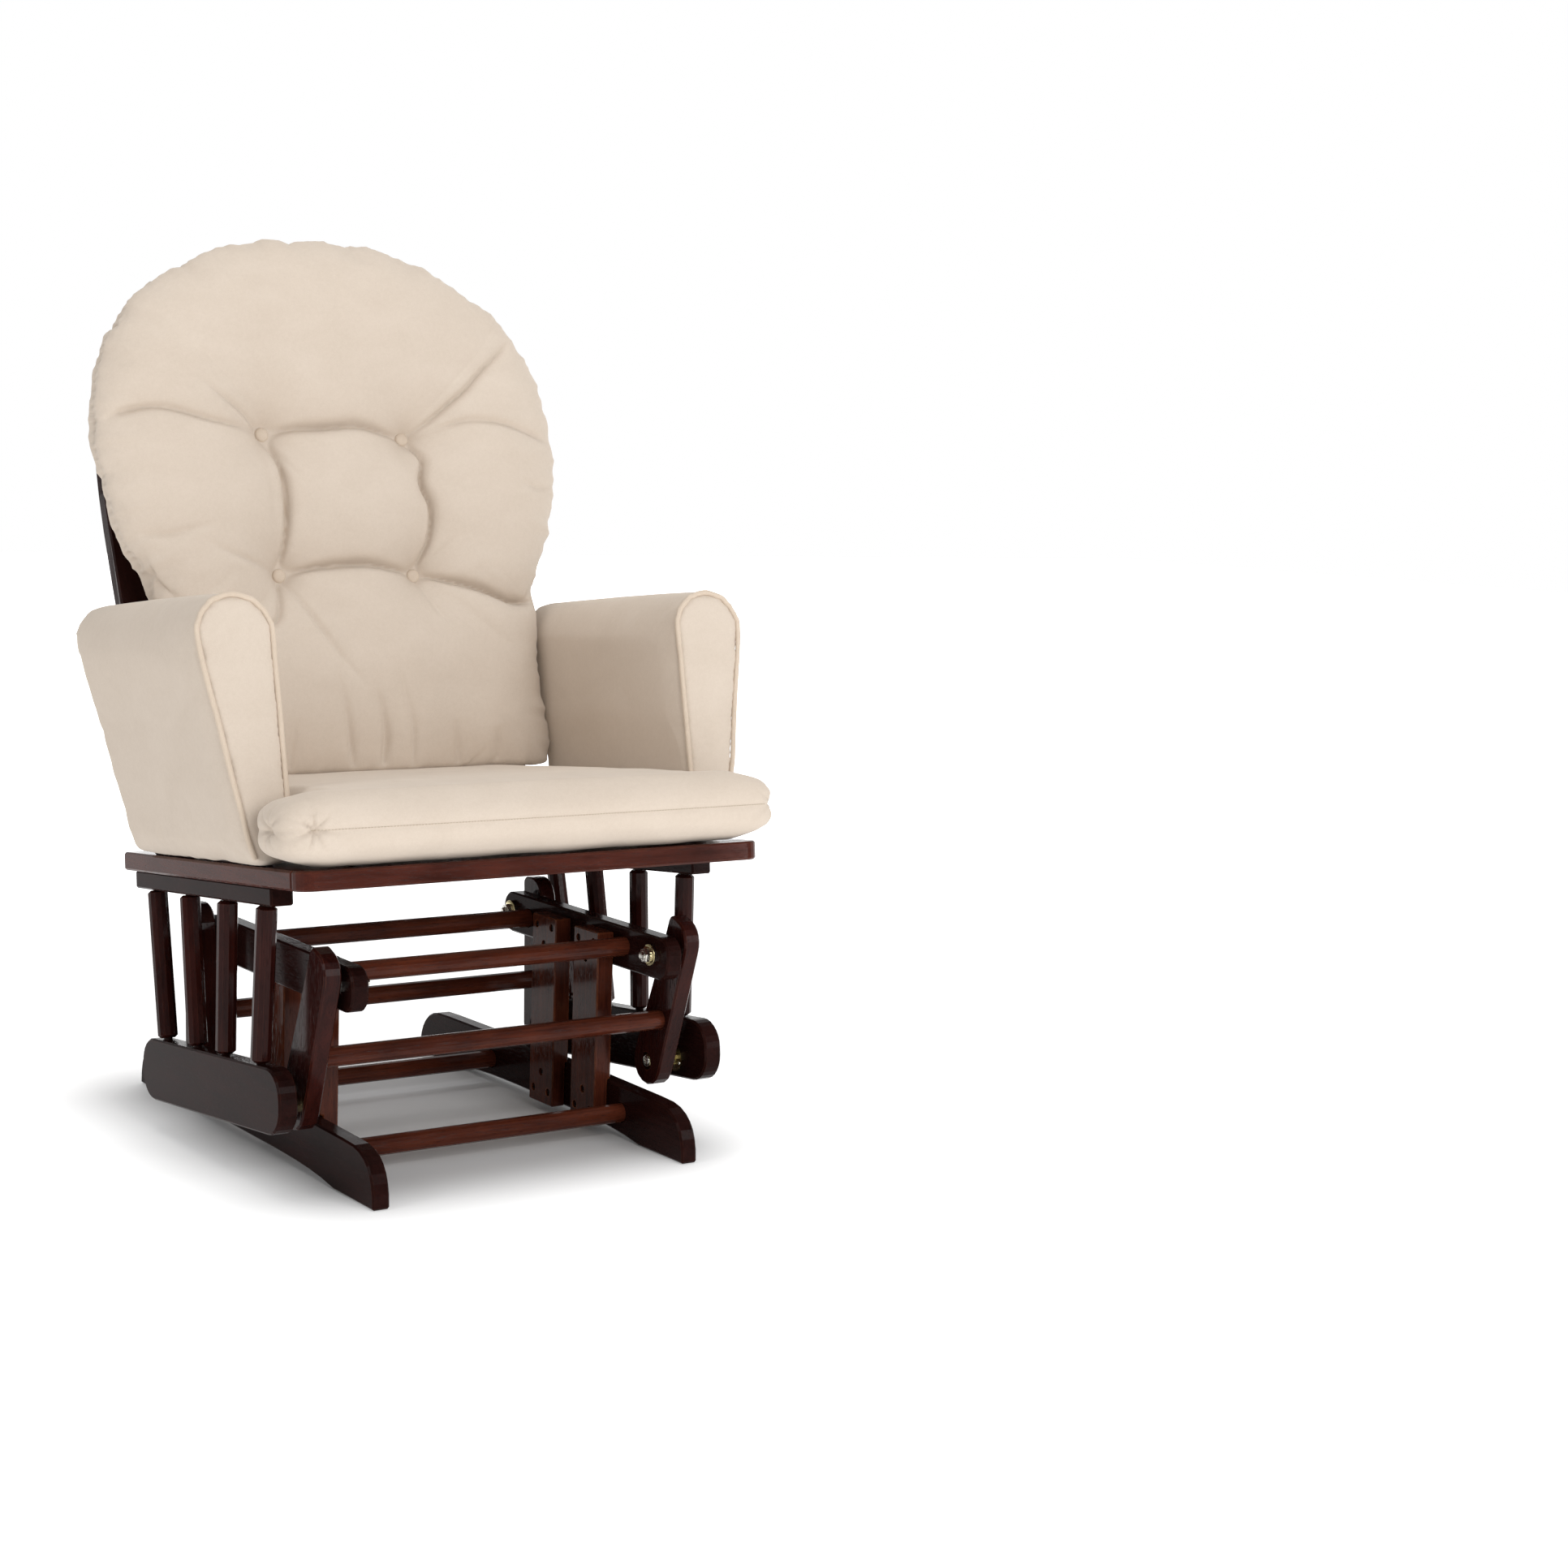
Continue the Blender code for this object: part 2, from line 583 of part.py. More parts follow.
def lean(ob, front_inset=0.0, rear_inset=0.0):
    """Slope the two ends of a board swept along Y to the arm's front and rear lines."""
    for v in ob.data.vertices:
        z = v.co.z
        v.co.y = arm_front(z) + front_inset if v.co.y < 0 else arm_rear(z) - rear_inset
    return ob


def panel_section(s, grow, low, high):
    slope = (PANEL_TOP - PANEL_LOW) / (0.600 - ARM_Z[0])
    xa = PANEL_LOW + slope * (low - ARM_Z[0]) - grow
    xb = PANEL_LOW + slope * (high - ARM_Z[0]) - grow
    wide = PANEL_T + 2 * grow
    return [(s * xa, low), (s * (xa + wide), low), (s * (xb + wide), high), (s * xb, high)]


for side, s in SIDES.items():
    pad = prism("arm_pad_" + side, [(s * x, z) for x, z in arm_section()], "Y", -0.1, 0.1,
                "cloth", "seat", TILT_M)
    ease(lean(pad), 0.006, 2, 60)
    panel = prism("arm_panel_" + side, panel_section(s, 0.0, SEAT_Z[1] + GAP, 0.590), "Y",
                  -0.1, 0.1, "dark", "seat", TILT_M)
    ease(lean(panel, 0.030, 0.022), 0.0015, 1)
    slot = prism("arm_slot_" + side, panel_section(s, 0.0008, ARM_Z[0] - 0.004, 0.5915),
                 "Y", -0.1, 0.1, matrix=TILT_M)
    cut(pad, lean(slot, 0.0292, 0.0212))

# ---------------------------------------------------------------- cushions
seat_cushion = box("seat_cushion", (-CUSHION_HALF, CUSHION_HALF),
                   (CUSHION_Y[0] + 0.02, CUSHION_Y[1]), CUSHION_Z, "cloth", "seat", TILT_M)
ease(seat_cushion, 0.030, 3)
ears = box("cushion_front", (-EAR_HALF, EAR_HALF), (CUSHION_Y[0], EAR_REAR), CUSHION_Z,
           matrix=TILT_M)
ease(ears, 0.034, 3)
join = seat_cushion.modifiers.new("front_lobe", "BOOLEAN")
join.operation = "UNION"
join.solver = "EXACT"
join.object = ears

half_line = curve([(0.0, 0.7247), (0.090, 0.7175), (0.172, 0.6864), (0.240, 0.640),
                   (0.285, 0.575), (0.302, 0.490), (0.297, 0.422), (0.279, 0.350),
                   (0.2490, 0.296), (0.2485, 0.200), (0.2475, 0.106)], 2)
foot_line = arc(0.2025, 0.109, 0.045, 0.045, 0, -90, 5)[1:]
right_line = half_line + foot_line
outline = right_line + [(-x, h) for x, h in right_line[::-1][:-1]]
back_cushion = prism("back_cushion", outline, "Y", -BACK_HALF_T, BACK_HALF_T - 0.002,
                     look="cloth", body="seat", matrix=BACK_M)
ease(back_cushion, 0.034, 3, 60)
cut(back_cushion, box("cushion_level", (-0.5, 0.5), (-0.3, 0.5), (0.3, CUSHION_Z[1] + 0.0006),
                      matrix=TILT_M))

for ob in list(BODIES.values()) + list(cutters.objects):
    ob.location.y += ORIGIN_Y
cutters.hide_render = True
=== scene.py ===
"""Visual model of the glider nursery chair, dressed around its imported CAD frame.

Metres, +Z up, front towards -Y.  The seat frame hangs leaning back a few degrees and the
back leans further, so their soft parts are shaped in level axes and then rotated.
"""
import math

import bmesh
import bpy
import numpy as np
from mathutils import Matrix, Vector, noise
from mathutils.bvhtree import BVHTree


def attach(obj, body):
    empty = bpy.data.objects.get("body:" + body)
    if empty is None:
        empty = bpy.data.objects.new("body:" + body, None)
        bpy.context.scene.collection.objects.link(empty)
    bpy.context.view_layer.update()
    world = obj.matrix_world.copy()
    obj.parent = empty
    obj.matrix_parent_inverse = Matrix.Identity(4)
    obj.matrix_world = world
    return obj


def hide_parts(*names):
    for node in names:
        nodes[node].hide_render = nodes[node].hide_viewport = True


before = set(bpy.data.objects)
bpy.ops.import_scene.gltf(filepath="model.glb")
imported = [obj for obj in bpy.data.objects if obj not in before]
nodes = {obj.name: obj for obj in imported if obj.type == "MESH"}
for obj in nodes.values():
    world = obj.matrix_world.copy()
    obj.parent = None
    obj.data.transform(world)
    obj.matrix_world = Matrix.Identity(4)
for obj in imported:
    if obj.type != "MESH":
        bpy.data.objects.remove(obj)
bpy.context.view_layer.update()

TILT = math.radians(5.69)         # backward lean of the hanging seat frame
TILT_Z = 0.19
BACK_LEAN = math.radians(15.0)
BACK_Y, BACK_Z = 0.0999, 0.3370   # foot of the back's middle plane
SHIFT = Matrix.Translation((0, -0.0113, 0))   # drawing axes to the centred frame
TILT_M = (SHIFT @ Matrix.Translation((0, 0, TILT_Z)) @ Matrix.Rotation(-TILT, 4, "X")
          @ Matrix.Translation((0, 0, -TILT_Z)))
BACK_M = (SHIFT @ Matrix.Translation((0, BACK_Y, BACK_Z))
          @ Matrix.Rotation(-BACK_LEAN, 4, "X"))
SIDES = {"left": -1, "right": 1}


# ---------------------------------------------------------------- shader helpers
class Shader:
    """A material's node tree, with short calls for adding and joining nodes."""

    def __init__(self, name):
        self.mat = bpy.data.materials.new(name)
        self.mat.use_nodes = True
        self.tree = self.mat.node_tree
        self.bsdf = self.tree.nodes["Principled BSDF"]
        coords = self.tree.nodes.new("ShaderNodeTexCoord")
        self.place = coords.outputs["Object"]

    def set(self, **values):
        for key, value in values.items():
            self.bsdf.inputs[key.replace("_", " ")].default_value = value
        return self

    def node(self, kind, links=(), **values):
        n = self.tree.nodes.new("ShaderNode" + kind)
        for key, value in values.items():
            if hasattr(n, key):
                setattr(n, key, value)
            else:
                n.inputs[key].default_value = value
        for socket, source in dict(links).items():
            self.tree.links.new(source, n.inputs[socket])
        return n

    def into(self, socket, source):
        self.tree.links.new(source, self.bsdf.inputs[socket])

    def mapped(self, scale, offset=(0, 0, 0), turn=(0, 0, 0)):
        n = self.node("Mapping", {"Vector": self.place})
        n.inputs["Scale"].default_value = scale
        n.inputs["Location"].default_value = offset
        n.inputs["Rotation"].default_value = turn
        return n.outputs["Vector"]

    def noise(self, vector, scale, detail=3.0, rough=0.5, distortion=0.0):
        n = self.node("TexNoise", {"Vector": vector}, Scale=scale, Detail=detail,
                      Roughness=rough, Distortion=distortion)
        return n.outputs["Fac"]

    def ramp(self, fac, *stops):
        n = self.node("ValToRGB", {"Fac": fac})
        band = n.color_ramp
        while len(band.elements) < len(stops):
            band.elements.new(0.5)
        for element, (position, colour) in zip(band.elements, stops):
            element.position = position
            colour = (colour,) * 3 if isinstance(colour, (int, float)) else colour
            element.color = (*colour, 1.0)
        return n.outputs["Color"]

    def math(self, operation, a, b):
        n = self.tree.nodes.new("ShaderNodeMath")
        n.operation = operation
        for socket, value in zip(n.inputs, (a, b)):
            if isinstance(value, (int, float)):
                socket.default_value = value
            else:
                self.tree.links.new(value, socket)
        return n.outputs[0]

    def mix(self, fac, a, b):
        n = self.tree.nodes.new("ShaderNodeMix")
        n.data_type = "RGBA"
        for socket, value in ((n.inputs[0], fac), (n.inputs[6], a), (n.inputs[7], b)):
            if isinstance(value, (int, float)):
                socket.default_value = value
            elif isinstance(value, tuple):
                socket.default_value = (*value, 1.0)
            else:
                self.tree.links.new(value, socket)
        return n.outputs[2]

    def smooth(self, value, low, high):
        """0 below low, 1 above high and an S-curve between them."""
        n = self.node("MapRange", {"Value": value}, interpolation_type="SMOOTHSTEP")
        n.inputs["From Min"].default_value = low
        n.inputs["From Max"].default_value = high
        return n.outputs["Result"]

    def bump(self, height, strength, distance, under=None):
        n = self.node("Bump", {"Height": height}, Strength=strength, Distance=distance)
        if under is not None:
            self.tree.links.new(under, n.inputs["Normal"])
        return n.outputs["Normal"]


# ---------------------------------------------------------------- materials
def wood(name, along, deep, warm, edge, offset, edge_amount, gloss, ior):
    """Stained, lacquered hardwood with its grain along one axis."""
    s = Shader(name)
    long, cross = 1.0, 14.0
    scale = [cross] * 3
    scale["XYZ".index(along)] = long
    grain_place = s.mapped(scale, offset)
    streak = s.noise(grain_place, 9.0, 8.0, 0.62, 0.6)
    pores = s.noise(s.mapped([v * 5 for v in scale], offset), 16.0, 3.0, 0.55)
    cloud = s.noise(s.mapped((1, 1, 1), offset), 11.0, 2.0, 0.5)
    tone = s.ramp(s.math("ADD", s.math("MULTIPLY", streak, 0.55),
                         s.math("MULTIPLY", cloud, 0.45)),
                  (0.30, deep), (0.50, tuple((a + b) / 2 for a, b in zip(deep, warm))),
                  (0.70, warm))
    pore_mask = s.ramp(pores, (0.34, 0.0), (0.42, 1.0))
    tone = s.mix(s.math("MULTIPLY", s.math("SUBTRACT", 1.0, pore_mask), 0.6), tone,
                 tuple(c * 0.6 for c in deep))
    soft = s.node("Bevel", samples=4, Radius=0.0022)
    geometry = s.node("NewGeometry")
    dot = s.node("VectorMath", {0: soft.outputs["Normal"],
                                1: geometry.outputs["Normal"]}, operation="DOT_PRODUCT")
    bend = s.ramp(dot.outputs["Value"], (0.80, 1.0), (0.985, 0.0))
    rub = s.ramp(s.noise(s.mapped((1, 1, 1), offset), 38.0, 4.0, 0.6),
                 (0.38, 0.0), (0.62, 1.0))
    wear = s.math("MULTIPLY", s.math("MULTIPLY", bend, rub), edge_amount)
    s.into("Base Color", s.mix(wear, tone, edge))
    rough = s.math("ADD", s.math("MULTIPLY", streak, 0.10),
                   s.math("MULTIPLY", s.math("SUBTRACT", 1.0, pore_mask), 0.08))
    s.into("Roughness", s.math("ADD", rough, 0.075))
    fine = s.bump(pore_mask, 0.16, 0.0006)
    orange_peel = s.noise(s.mapped((1, 1, 1), offset), 260.0, 2.0, 0.5)
    s.into("Normal", s.bump(orange_peel, 0.05, 0.0004, fine))
    s.set(Specular_IOR_Level=gloss, IOR=ior)          # a thin satin lacquer
    return s.mat


# darkest, lightest, rubbed edge, edge wear, gloss and lacquer index of each stock
STOCKS = {
    "board": ((0.0270, 0.0072, 0.0050), (0.080, 0.0200, 0.0130), (0.150, 0.042, 0.018),
              0.7, 0.80, 1.15),
    # low: partly the dark espresso stain, partly painted shade, darkening the pieces under
    # the seat and behind the cushions
    "low": ((0.0070, 0.0026, 0.0022), (0.023, 0.0064, 0.0052), (0.060, 0.018, 0.009),
            0.5, 1.00, 1.08),
    "link": ((0.0085, 0.0022, 0.0020), (0.038, 0.0078, 0.0056), (0.110, 0.030, 0.014),
             0.7, 0.90, 1.15),
    "red": ((0.0190, 0.0046, 0.0034), (0.105, 0.0240, 0.0110), (0.260, 0.085, 0.028),
            0.9, 1.00, 1.15),
}
woods = {}
for axis in "XYZ":
    shift = {"X": (0.3, 1.7, 0.9), "Y": (2.1, 0.2, 1.3), "Z": (0.8, 2.6, 0.1)}[axis]
    for kind, (deep, warm, edge, worn, gloss, ior) in STOCKS.items():
        woods[kind + "_" + axis] = wood(kind + "_stock_" + axis.lower(), axis, deep, warm,
                                        edge, shift, worn, gloss, ior)


def suede(name, tint=(1.0, 1.0, 1.0), fold=1.0):
    """Brushed microfibre: tiny matted nap, faint clouding where it was stroked."""
    s = Shader(name)
    light = tuple(a * b for a, b in zip((0.612, 0.527, 0.444), tint))
    shade = tuple(a * b for a, b in zip((0.556, 0.471, 0.389), tint))
    nap = s.noise(s.mapped((1, 1, 1)), 620.0, 3.0, 0.7)
    stroke = s.noise(s.mapped((1, 1, 1.6)), 13.0, 4.0, 0.6, 0.5)
    fleck = s.noise(s.mapped((1, 1, 1)), 190.0, 2.0, 0.6)
    blend = s.math("ADD", s.math("MULTIPLY", nap, 0.40),
                   s.math("ADD", s.math("MULTIPLY", stroke, 0.38),
                          s.math("MULTIPLY", fleck, 0.22)))
    tone = s.ramp(blend, (0.34, shade), (0.64, light))
    s.into("Base Color", tone)
    weave_x = s.node("TexWave", {"Vector": s.mapped((1, 1, 1), turn=(0.0, 0.0, 0.5))},
                     Scale=520.0, Distortion=1.2, Detail=1.0)
    weave_z = s.node("TexWave", {"Vector": s.mapped((1, 1, 1), turn=(0.5, 1.57, 0.0))},
                     Scale=520.0, Distortion=1.2, Detail=1.0)
    weave = s.math("MULTIPLY", weave_x.outputs["Fac"], weave_z.outputs["Fac"])
    under = s.bump(weave, 0.10 * fold, 0.0003)
    s.into("Normal", s.bump(nap, 0.22 * fold, 0.0005, under))
    s.into("Roughness", s.ramp(nap, (0.3, 0.82), (0.7, 0.97)))
    s.set(Sheen_Weight=0.22, Sheen_Roughness=0.45, Sheen_Tint=(1.0, 0.95, 0.88, 1.0),
          Specular_IOR_Level=0.18)
    return s.mat


cloth = suede("cream_microfibre")
cord_cloth = suede("cream_piping", (1.0, 0.97, 0.93), 1.4)
button_cloth = suede("cream_button", (1.0, 0.975, 0.94), 0.8)


def thread_material():
    s = Shader("seam_thread")
    twist = s.node("TexWave", {"Vector": s.mapped((1, 1, 1), turn=(0, 0.6, 0.6))},
                   Scale=900.0, Distortion=0.4)
    s.into("Base Color", s.ramp(twist.outputs["Fac"], (0.0, (0.36, 0.29, 0.21)),
                                (1.0, (0.60, 0.50, 0.39))))
    s.into("Normal", s.bump(twist.outputs["Fac"], 0.5, 0.0003))
    return s.set(Roughness=0.8, Sheen_Weight=0.2).mat


thread = thread_material()


def plated(name, light, dull, scratch=0.10):
    """Zinc-plated steel: fine drawn scratches and cloudy passivation."""
    s = Shader(name)
    cloud = s.noise(s.mapped((1, 1, 1)), 120.0, 4.0, 0.6)
    grit = s.noise(s.mapped((0.25, 1, 1)), 1400.0, 2.0, 0.6)
    s.into("Base Color", s.ramp(cloud, (0.35, dull), (0.65, light)))
    s.into("Roughness", s.math("ADD", s.math("MULTIPLY", cloud, 0.22),
                               s.math("MULTIPLY", grit, scratch)))
    s.into("Normal", s.bump(grit, 0.15, 0.0002))
    return s.set(Metallic=1.0).mat


zinc = plated("zinc_plate", (0.80, 0.79, 0.74), (0.52, 0.50, 0.45))
brassy = plated("yellow_passivated_zinc", (0.78, 0.68, 0.40), (0.50, 0.42, 0.22))
spring_wire = plated("spring_wire", (0.42, 0.42, 0.43), (0.24, 0.24, 0.25))


def black_screw():
    s = Shader("black_oxide_screw")
    cloud = s.noise(s.mapped((1, 1, 1)), 300.0, 3.0, 0.6)
    s.into("Base Color", s.ramp(cloud, (0.35, (0.010, 0.010, 0.011)),
                                (0.65, (0.035, 0.033, 0.032))))
    s.into("Roughness", s.math("ADD", s.math("MULTIPLY", cloud, 0.3), 0.18))
    return s.set(Metallic=0.85).mat


screw_black = black_screw()


def paint(ob, mat):
    ob.data.materials.clear()
    ob.data.materials.append(mat)
    return ob


# stock and grain direction of each wooden piece; the low stock's extra darkness is painted
# shade
GRAIN = {"foot": "low_Y", "hanger_beam": "low_Y", "lower_rail": "low_Y",
         "upper_rail": "low_Y", "seat_board_front": "board_X",
         "seat_board_rear": "board_X", "seat_board": "board_Y", "back_crest": "low_X",
         "back_rail": "low_X", "back_post": "low_Z", "back_slat": "low_Z",
         "link": "link_Z", "post": "red_Z", "rod": "red_X", "spindle": "link_Z",
         "arm_panel": "low_Z"}


def repaint_frame():
    for name, ob in nodes.items():
        key = next((k for k in sorted(GRAIN, key=len, reverse=True)
                    if name.startswith(k)), None)
        if key:
            paint(ob, woods[GRAIN[key]])
        elif name.startswith("bolt_low"):
            paint(ob, brassy)
        elif name.startswith("bolt"):
            paint(ob, zinc)
        elif name.startswith("seat_spring"):
            paint(ob, spring_wire)


repaint_frame()


# ---------------------------------------------------------------- mesh helpers
def mesh_object(name, bm, mat, smooth=True):
    me = bpy.data.meshes.new(name)
    bmesh.ops.recalc_face_normals(bm, faces=bm.faces)
    bm.to_mesh(me)
    bm.free()
    ob = bpy.data.objects.new(name, me)
    bpy.context.scene.collection.objects.link(ob)
    for p in me.polygons:
        p.use_smooth = smooth
    me.materials.append(mat)
    return ob


def positions(ob):
    co = np.empty(len(ob.data.vertices) * 3)
    ob.data.vertices.foreach_get("co", co)
    return co.reshape(-1, 3)


def place(ob, co):
    ob.data.vertices.foreach_set("co", np.asarray(co, float).ravel())
    ob.data.update()


def normals(ob):
    out = np.empty(len(ob.data.vertices) * 3, np.float32)
    ob.data.vertex_normals.foreach_get("vector", out)
    return out.reshape(-1, 3).astype(float)


def apply_modifiers(ob):
    dg = bpy.context.evaluated_depsgraph_get()
    me = bpy.data.meshes.new_from_object(ob.evaluated_get(dg))
    old = ob.data
    ob.modifiers.clear()
    ob.data = me
    bpy.data.meshes.remove(old)
    return ob


def remesh(ob, size):
    mod = ob.modifiers.new("even", "REMESH")
    mod.mode = "VOXEL"
    mod.voxel_size = size
    apply_modifiers(ob)
    for p in ob.data.polygons:
        p.use_smooth = True
    return ob


def relax(ob, turns):
    mod = ob.modifiers.new("relax", "SMOOTH")
    mod.iterations = turns
    mod.factor = 0.5
    return apply_modifiers(ob)


def refine(ob):
    mod = ob.modifiers.new("refine", "SUBSURF")
    mod.levels = mod.render_levels = 1
    return apply_modifiers(ob)


def inflate(ob, pressure, cap, frames=20, hold=None, stiffness=15.0, bend=0.5):
    """Cloth run under inner pressure; no point moves further than cap.

    hold gives each point's pin weight, from 0, free, to 1, fixed.
    """
    start = positions(ob)
    if hold is not None:
        group = ob.vertex_groups.new(name="hold")
        for level in (0.25, 0.5, 0.75, 1.0):
            picked = np.nonzero(np.abs(hold - level) < 0.125)[0]
            if len(picked):
                group.add([int(i) for i in picked], float(level), "REPLACE")
    mod = ob.modifiers.new("cloth", "CLOTH")
    cs = mod.settings
    cs.quality = 6
    cs.mass = 0.25
    cs.tension_stiffness = cs.compression_stiffness = stiffness
    cs.shear_stiffness = stiffness * 0.4
    cs.bending_stiffness = bend
    cs.air_damping = 4.0
    cs.use_pressure = True
    cs.uniform_pressure_force = pressure
    cs.effector_weights.gravity = 0.0
    if hold is not None:
        cs.vertex_group_mass = "hold"
        cs.pin_stiffness = 8.0
    mod.collision_settings.use_collision = False
    mod.collision_settings.use_self_collision = False
    mod.point_cache.frame_start = 1
    mod.point_cache.frame_end = frames
    scene = bpy.context.scene
    for f in range(1, frames + 1):
        scene.frame_set(f)
    apply_modifiers(ob)
    scene.frame_set(1)
    now = positions(ob)
    move = now - start
    length = np.linalg.norm(move, axis=1, keepdims=True)
    place(ob, start + move * np.minimum(1.0, cap / np.maximum(length, 1e-9)))
    ob.vertex_groups.clear()
    return ob


def smoothstep(a, b, x):
    t = np.clip((np.asarray(x, float) - a) / (b - a), 0.0, 1.0)
    return t * t * (3 - 2 * t)


def noise_at(points, scale, seed=0.0):
    return np.array([noise.noise(Vector(p) * scale + Vector((seed, -seed, seed * 0.7)))
                     for p in points])


def spline(points, steps):
    """Smooth (Catmull-Rom) line through a few points of any dimension."""
    pts = np.array(points, float)
    pts = np.vstack([2 * pts[0] - pts[1], pts, 2 * pts[-1] - pts[-2]])
    out = []
    for i in range(1, len(pts) - 2):
        p0, p1, p2, p3 = pts[i - 1:i + 3]
        for k in range(steps):
            t = k / steps
            out.append(0.5 * (2 * p1 + (p2 - p0) * t
                              + (2 * p0 - 5 * p1 + 4 * p2 - p3) * t * t
                              + (3 * p1 - p0 - 3 * p2 + p3) * t ** 3))
    out.append(pts[-2])
    return np.array(out)


def ring(bm, centre, side, up, radius, sides):
    """Vertices of one round cross-section."""
    return [bm.verts.new(centre + (side * math.cos(t) + up * math.sin(t)) * radius)
            for t in (2 * math.pi * k / sides for k in range(sides))]


def skin(bm, rings):
    """Faces between neighbouring rings, and a cap on each end."""
    sides = len(rings[0])
    for one, two in zip(rings, rings[1:]):
        for k in range(sides):
            bm.faces.new((one[k], one[(k + 1) % sides], two[(k + 1) % sides], two[k]))
    bm.faces.new(rings[0][::-1])
    bm.faces.new(rings[-1])


def tube(name, points, radius, mat, sides, wobble):
    """Round cord along a line of 3-D points, its radius varying by the share wobble."""
    pts = [Vector(p) for p in points]
    bm = bmesh.new()
    rings = []
    side = None
    for i, p in enumerate(pts):
        way = (pts[min(i + 1, len(pts) - 1)] - pts[max(i - 1, 0)]).normalized()
        if side is None:
            side = way.orthogonal().normalized()
        side = (side - way * side.dot(way)).normalized()
        up = way.cross(side)
        r = radius * (1 + wobble * noise.noise(p * 260.0))
        rings.append(ring(bm, p, side, up, r, sides))
    skin(bm, rings)
    return mesh_object(name, bm, mat)


def turned(name, profile, centre, axis, mat, sides=32):
    """Solid of revolution: (distance along axis, radius) pairs, ends closed."""
    axis = Vector(axis).normalized()
    side = axis.orthogonal().normalized()
    up = axis.cross(side)
    centre = Vector(centre)
    bm = bmesh.new()
    skin(bm, [ring(bm, centre + axis * d, side, up, r, sides) for d, r in profile])
    return mesh_object(name, bm, mat)


def facing(ob, axis, centre):
    """Move a part made along +X at the origin, so that it stands at centre along axis."""
    turn = Vector((1, 0, 0)).rotation_difference(Vector(axis)).to_matrix().to_4x4()
    ob.data.transform(Matrix.Translation(centre) @ turn)
    return ob


# ---------------------------------------------------------------- back cushion
BACK_HALF = [(0.0, 0.7247), (0.050, 0.7225), (0.090, 0.7165), (0.135, 0.7035),
             (0.172, 0.6864), (0.210, 0.6640), (0.240, 0.6400), (0.266, 0.6080),
             (0.285, 0.5750), (0.297, 0.5330), (0.3035, 0.4900), (0.3040, 0.4550),
             (0.300, 0.4220), (0.292, 0.3880), (0.281, 0.3500), (0.266, 0.3180),
             (0.256, 0.2900), (0.2530, 0.2400), (0.2525, 0.1900), (0.2540, 0.1250),
             (0.252, 0.0840), (0.234, 0.0600), (0.160, 0.0565), (0.070, 0.0560),
             (0.0, 0.0560)]
BUTTONS = {"ul": (-0.093, 0.480), "ur": (0.093, 0.480),
           "ll": (-0.089, 0.308), "lr": (0.089, 0.308)}
BACK_CENTRE = np.array([0.0, 0.40])   # the outline is stretched about this point
BULGE = 0.052                     # how far the front stands ahead of the middle plane
BACK_FLAT = 0.051                 # how far the rear stands behind it, against the slats


def back_outline(steps=6):
    half = spline(BACK_HALF, steps)
    left = half[::-1][1:-1] * np.array([-1.0, 1.0])
    return np.vstack([half, left])


def edge_distance(xy, outline):
    """Distance of each point to a closed polygon line, and how far round it that is."""
    a = outline
    b = np.roll(outline, -1, axis=0)
    seg = b - a
    length = np.linalg.norm(seg, axis=1)
    run = np.concatenate([[0], np.cumsum(length)])
    best = np.full(len(xy), 1e9)
    where = np.zeros(len(xy))
    for i in range(len(a)):
        t = np.clip(((xy - a[i]) @ seg[i]) / max(length[i] ** 2, 1e-12), 0, 1)
        d = np.linalg.norm(xy - (a[i] + t[:, None] * seg[i]), axis=1)
        near = d < best
        best[near] = d[near]
        where[near] = run[i] + t[near] * length[i]
    return best, where, run[-1]


def line_distance(xy, line):
    """Distance of each point to an open line, and how far along it that is, 0 to 1."""
    line = np.asarray(line, float)
    seg = line[1:] - line[:-1]
    length = np.linalg.norm(seg, axis=1)
    run = np.concatenate([[0], np.cumsum(length)])
    best = np.full(len(xy), 1e9)
    where = np.zeros(len(xy))
    for i in range(len(seg)):
        t = np.clip(((xy - line[i]) @ seg[i]) / max(length[i] ** 2, 1e-12), 0, 1)
        d = np.linalg.norm(xy - (line[i] + t[:, None] * seg[i]), axis=1)
        near = d < best
        best[near] = d[near]
        where[near] = (run[i] + t[near] * length[i]) / run[-1]
    return best, where


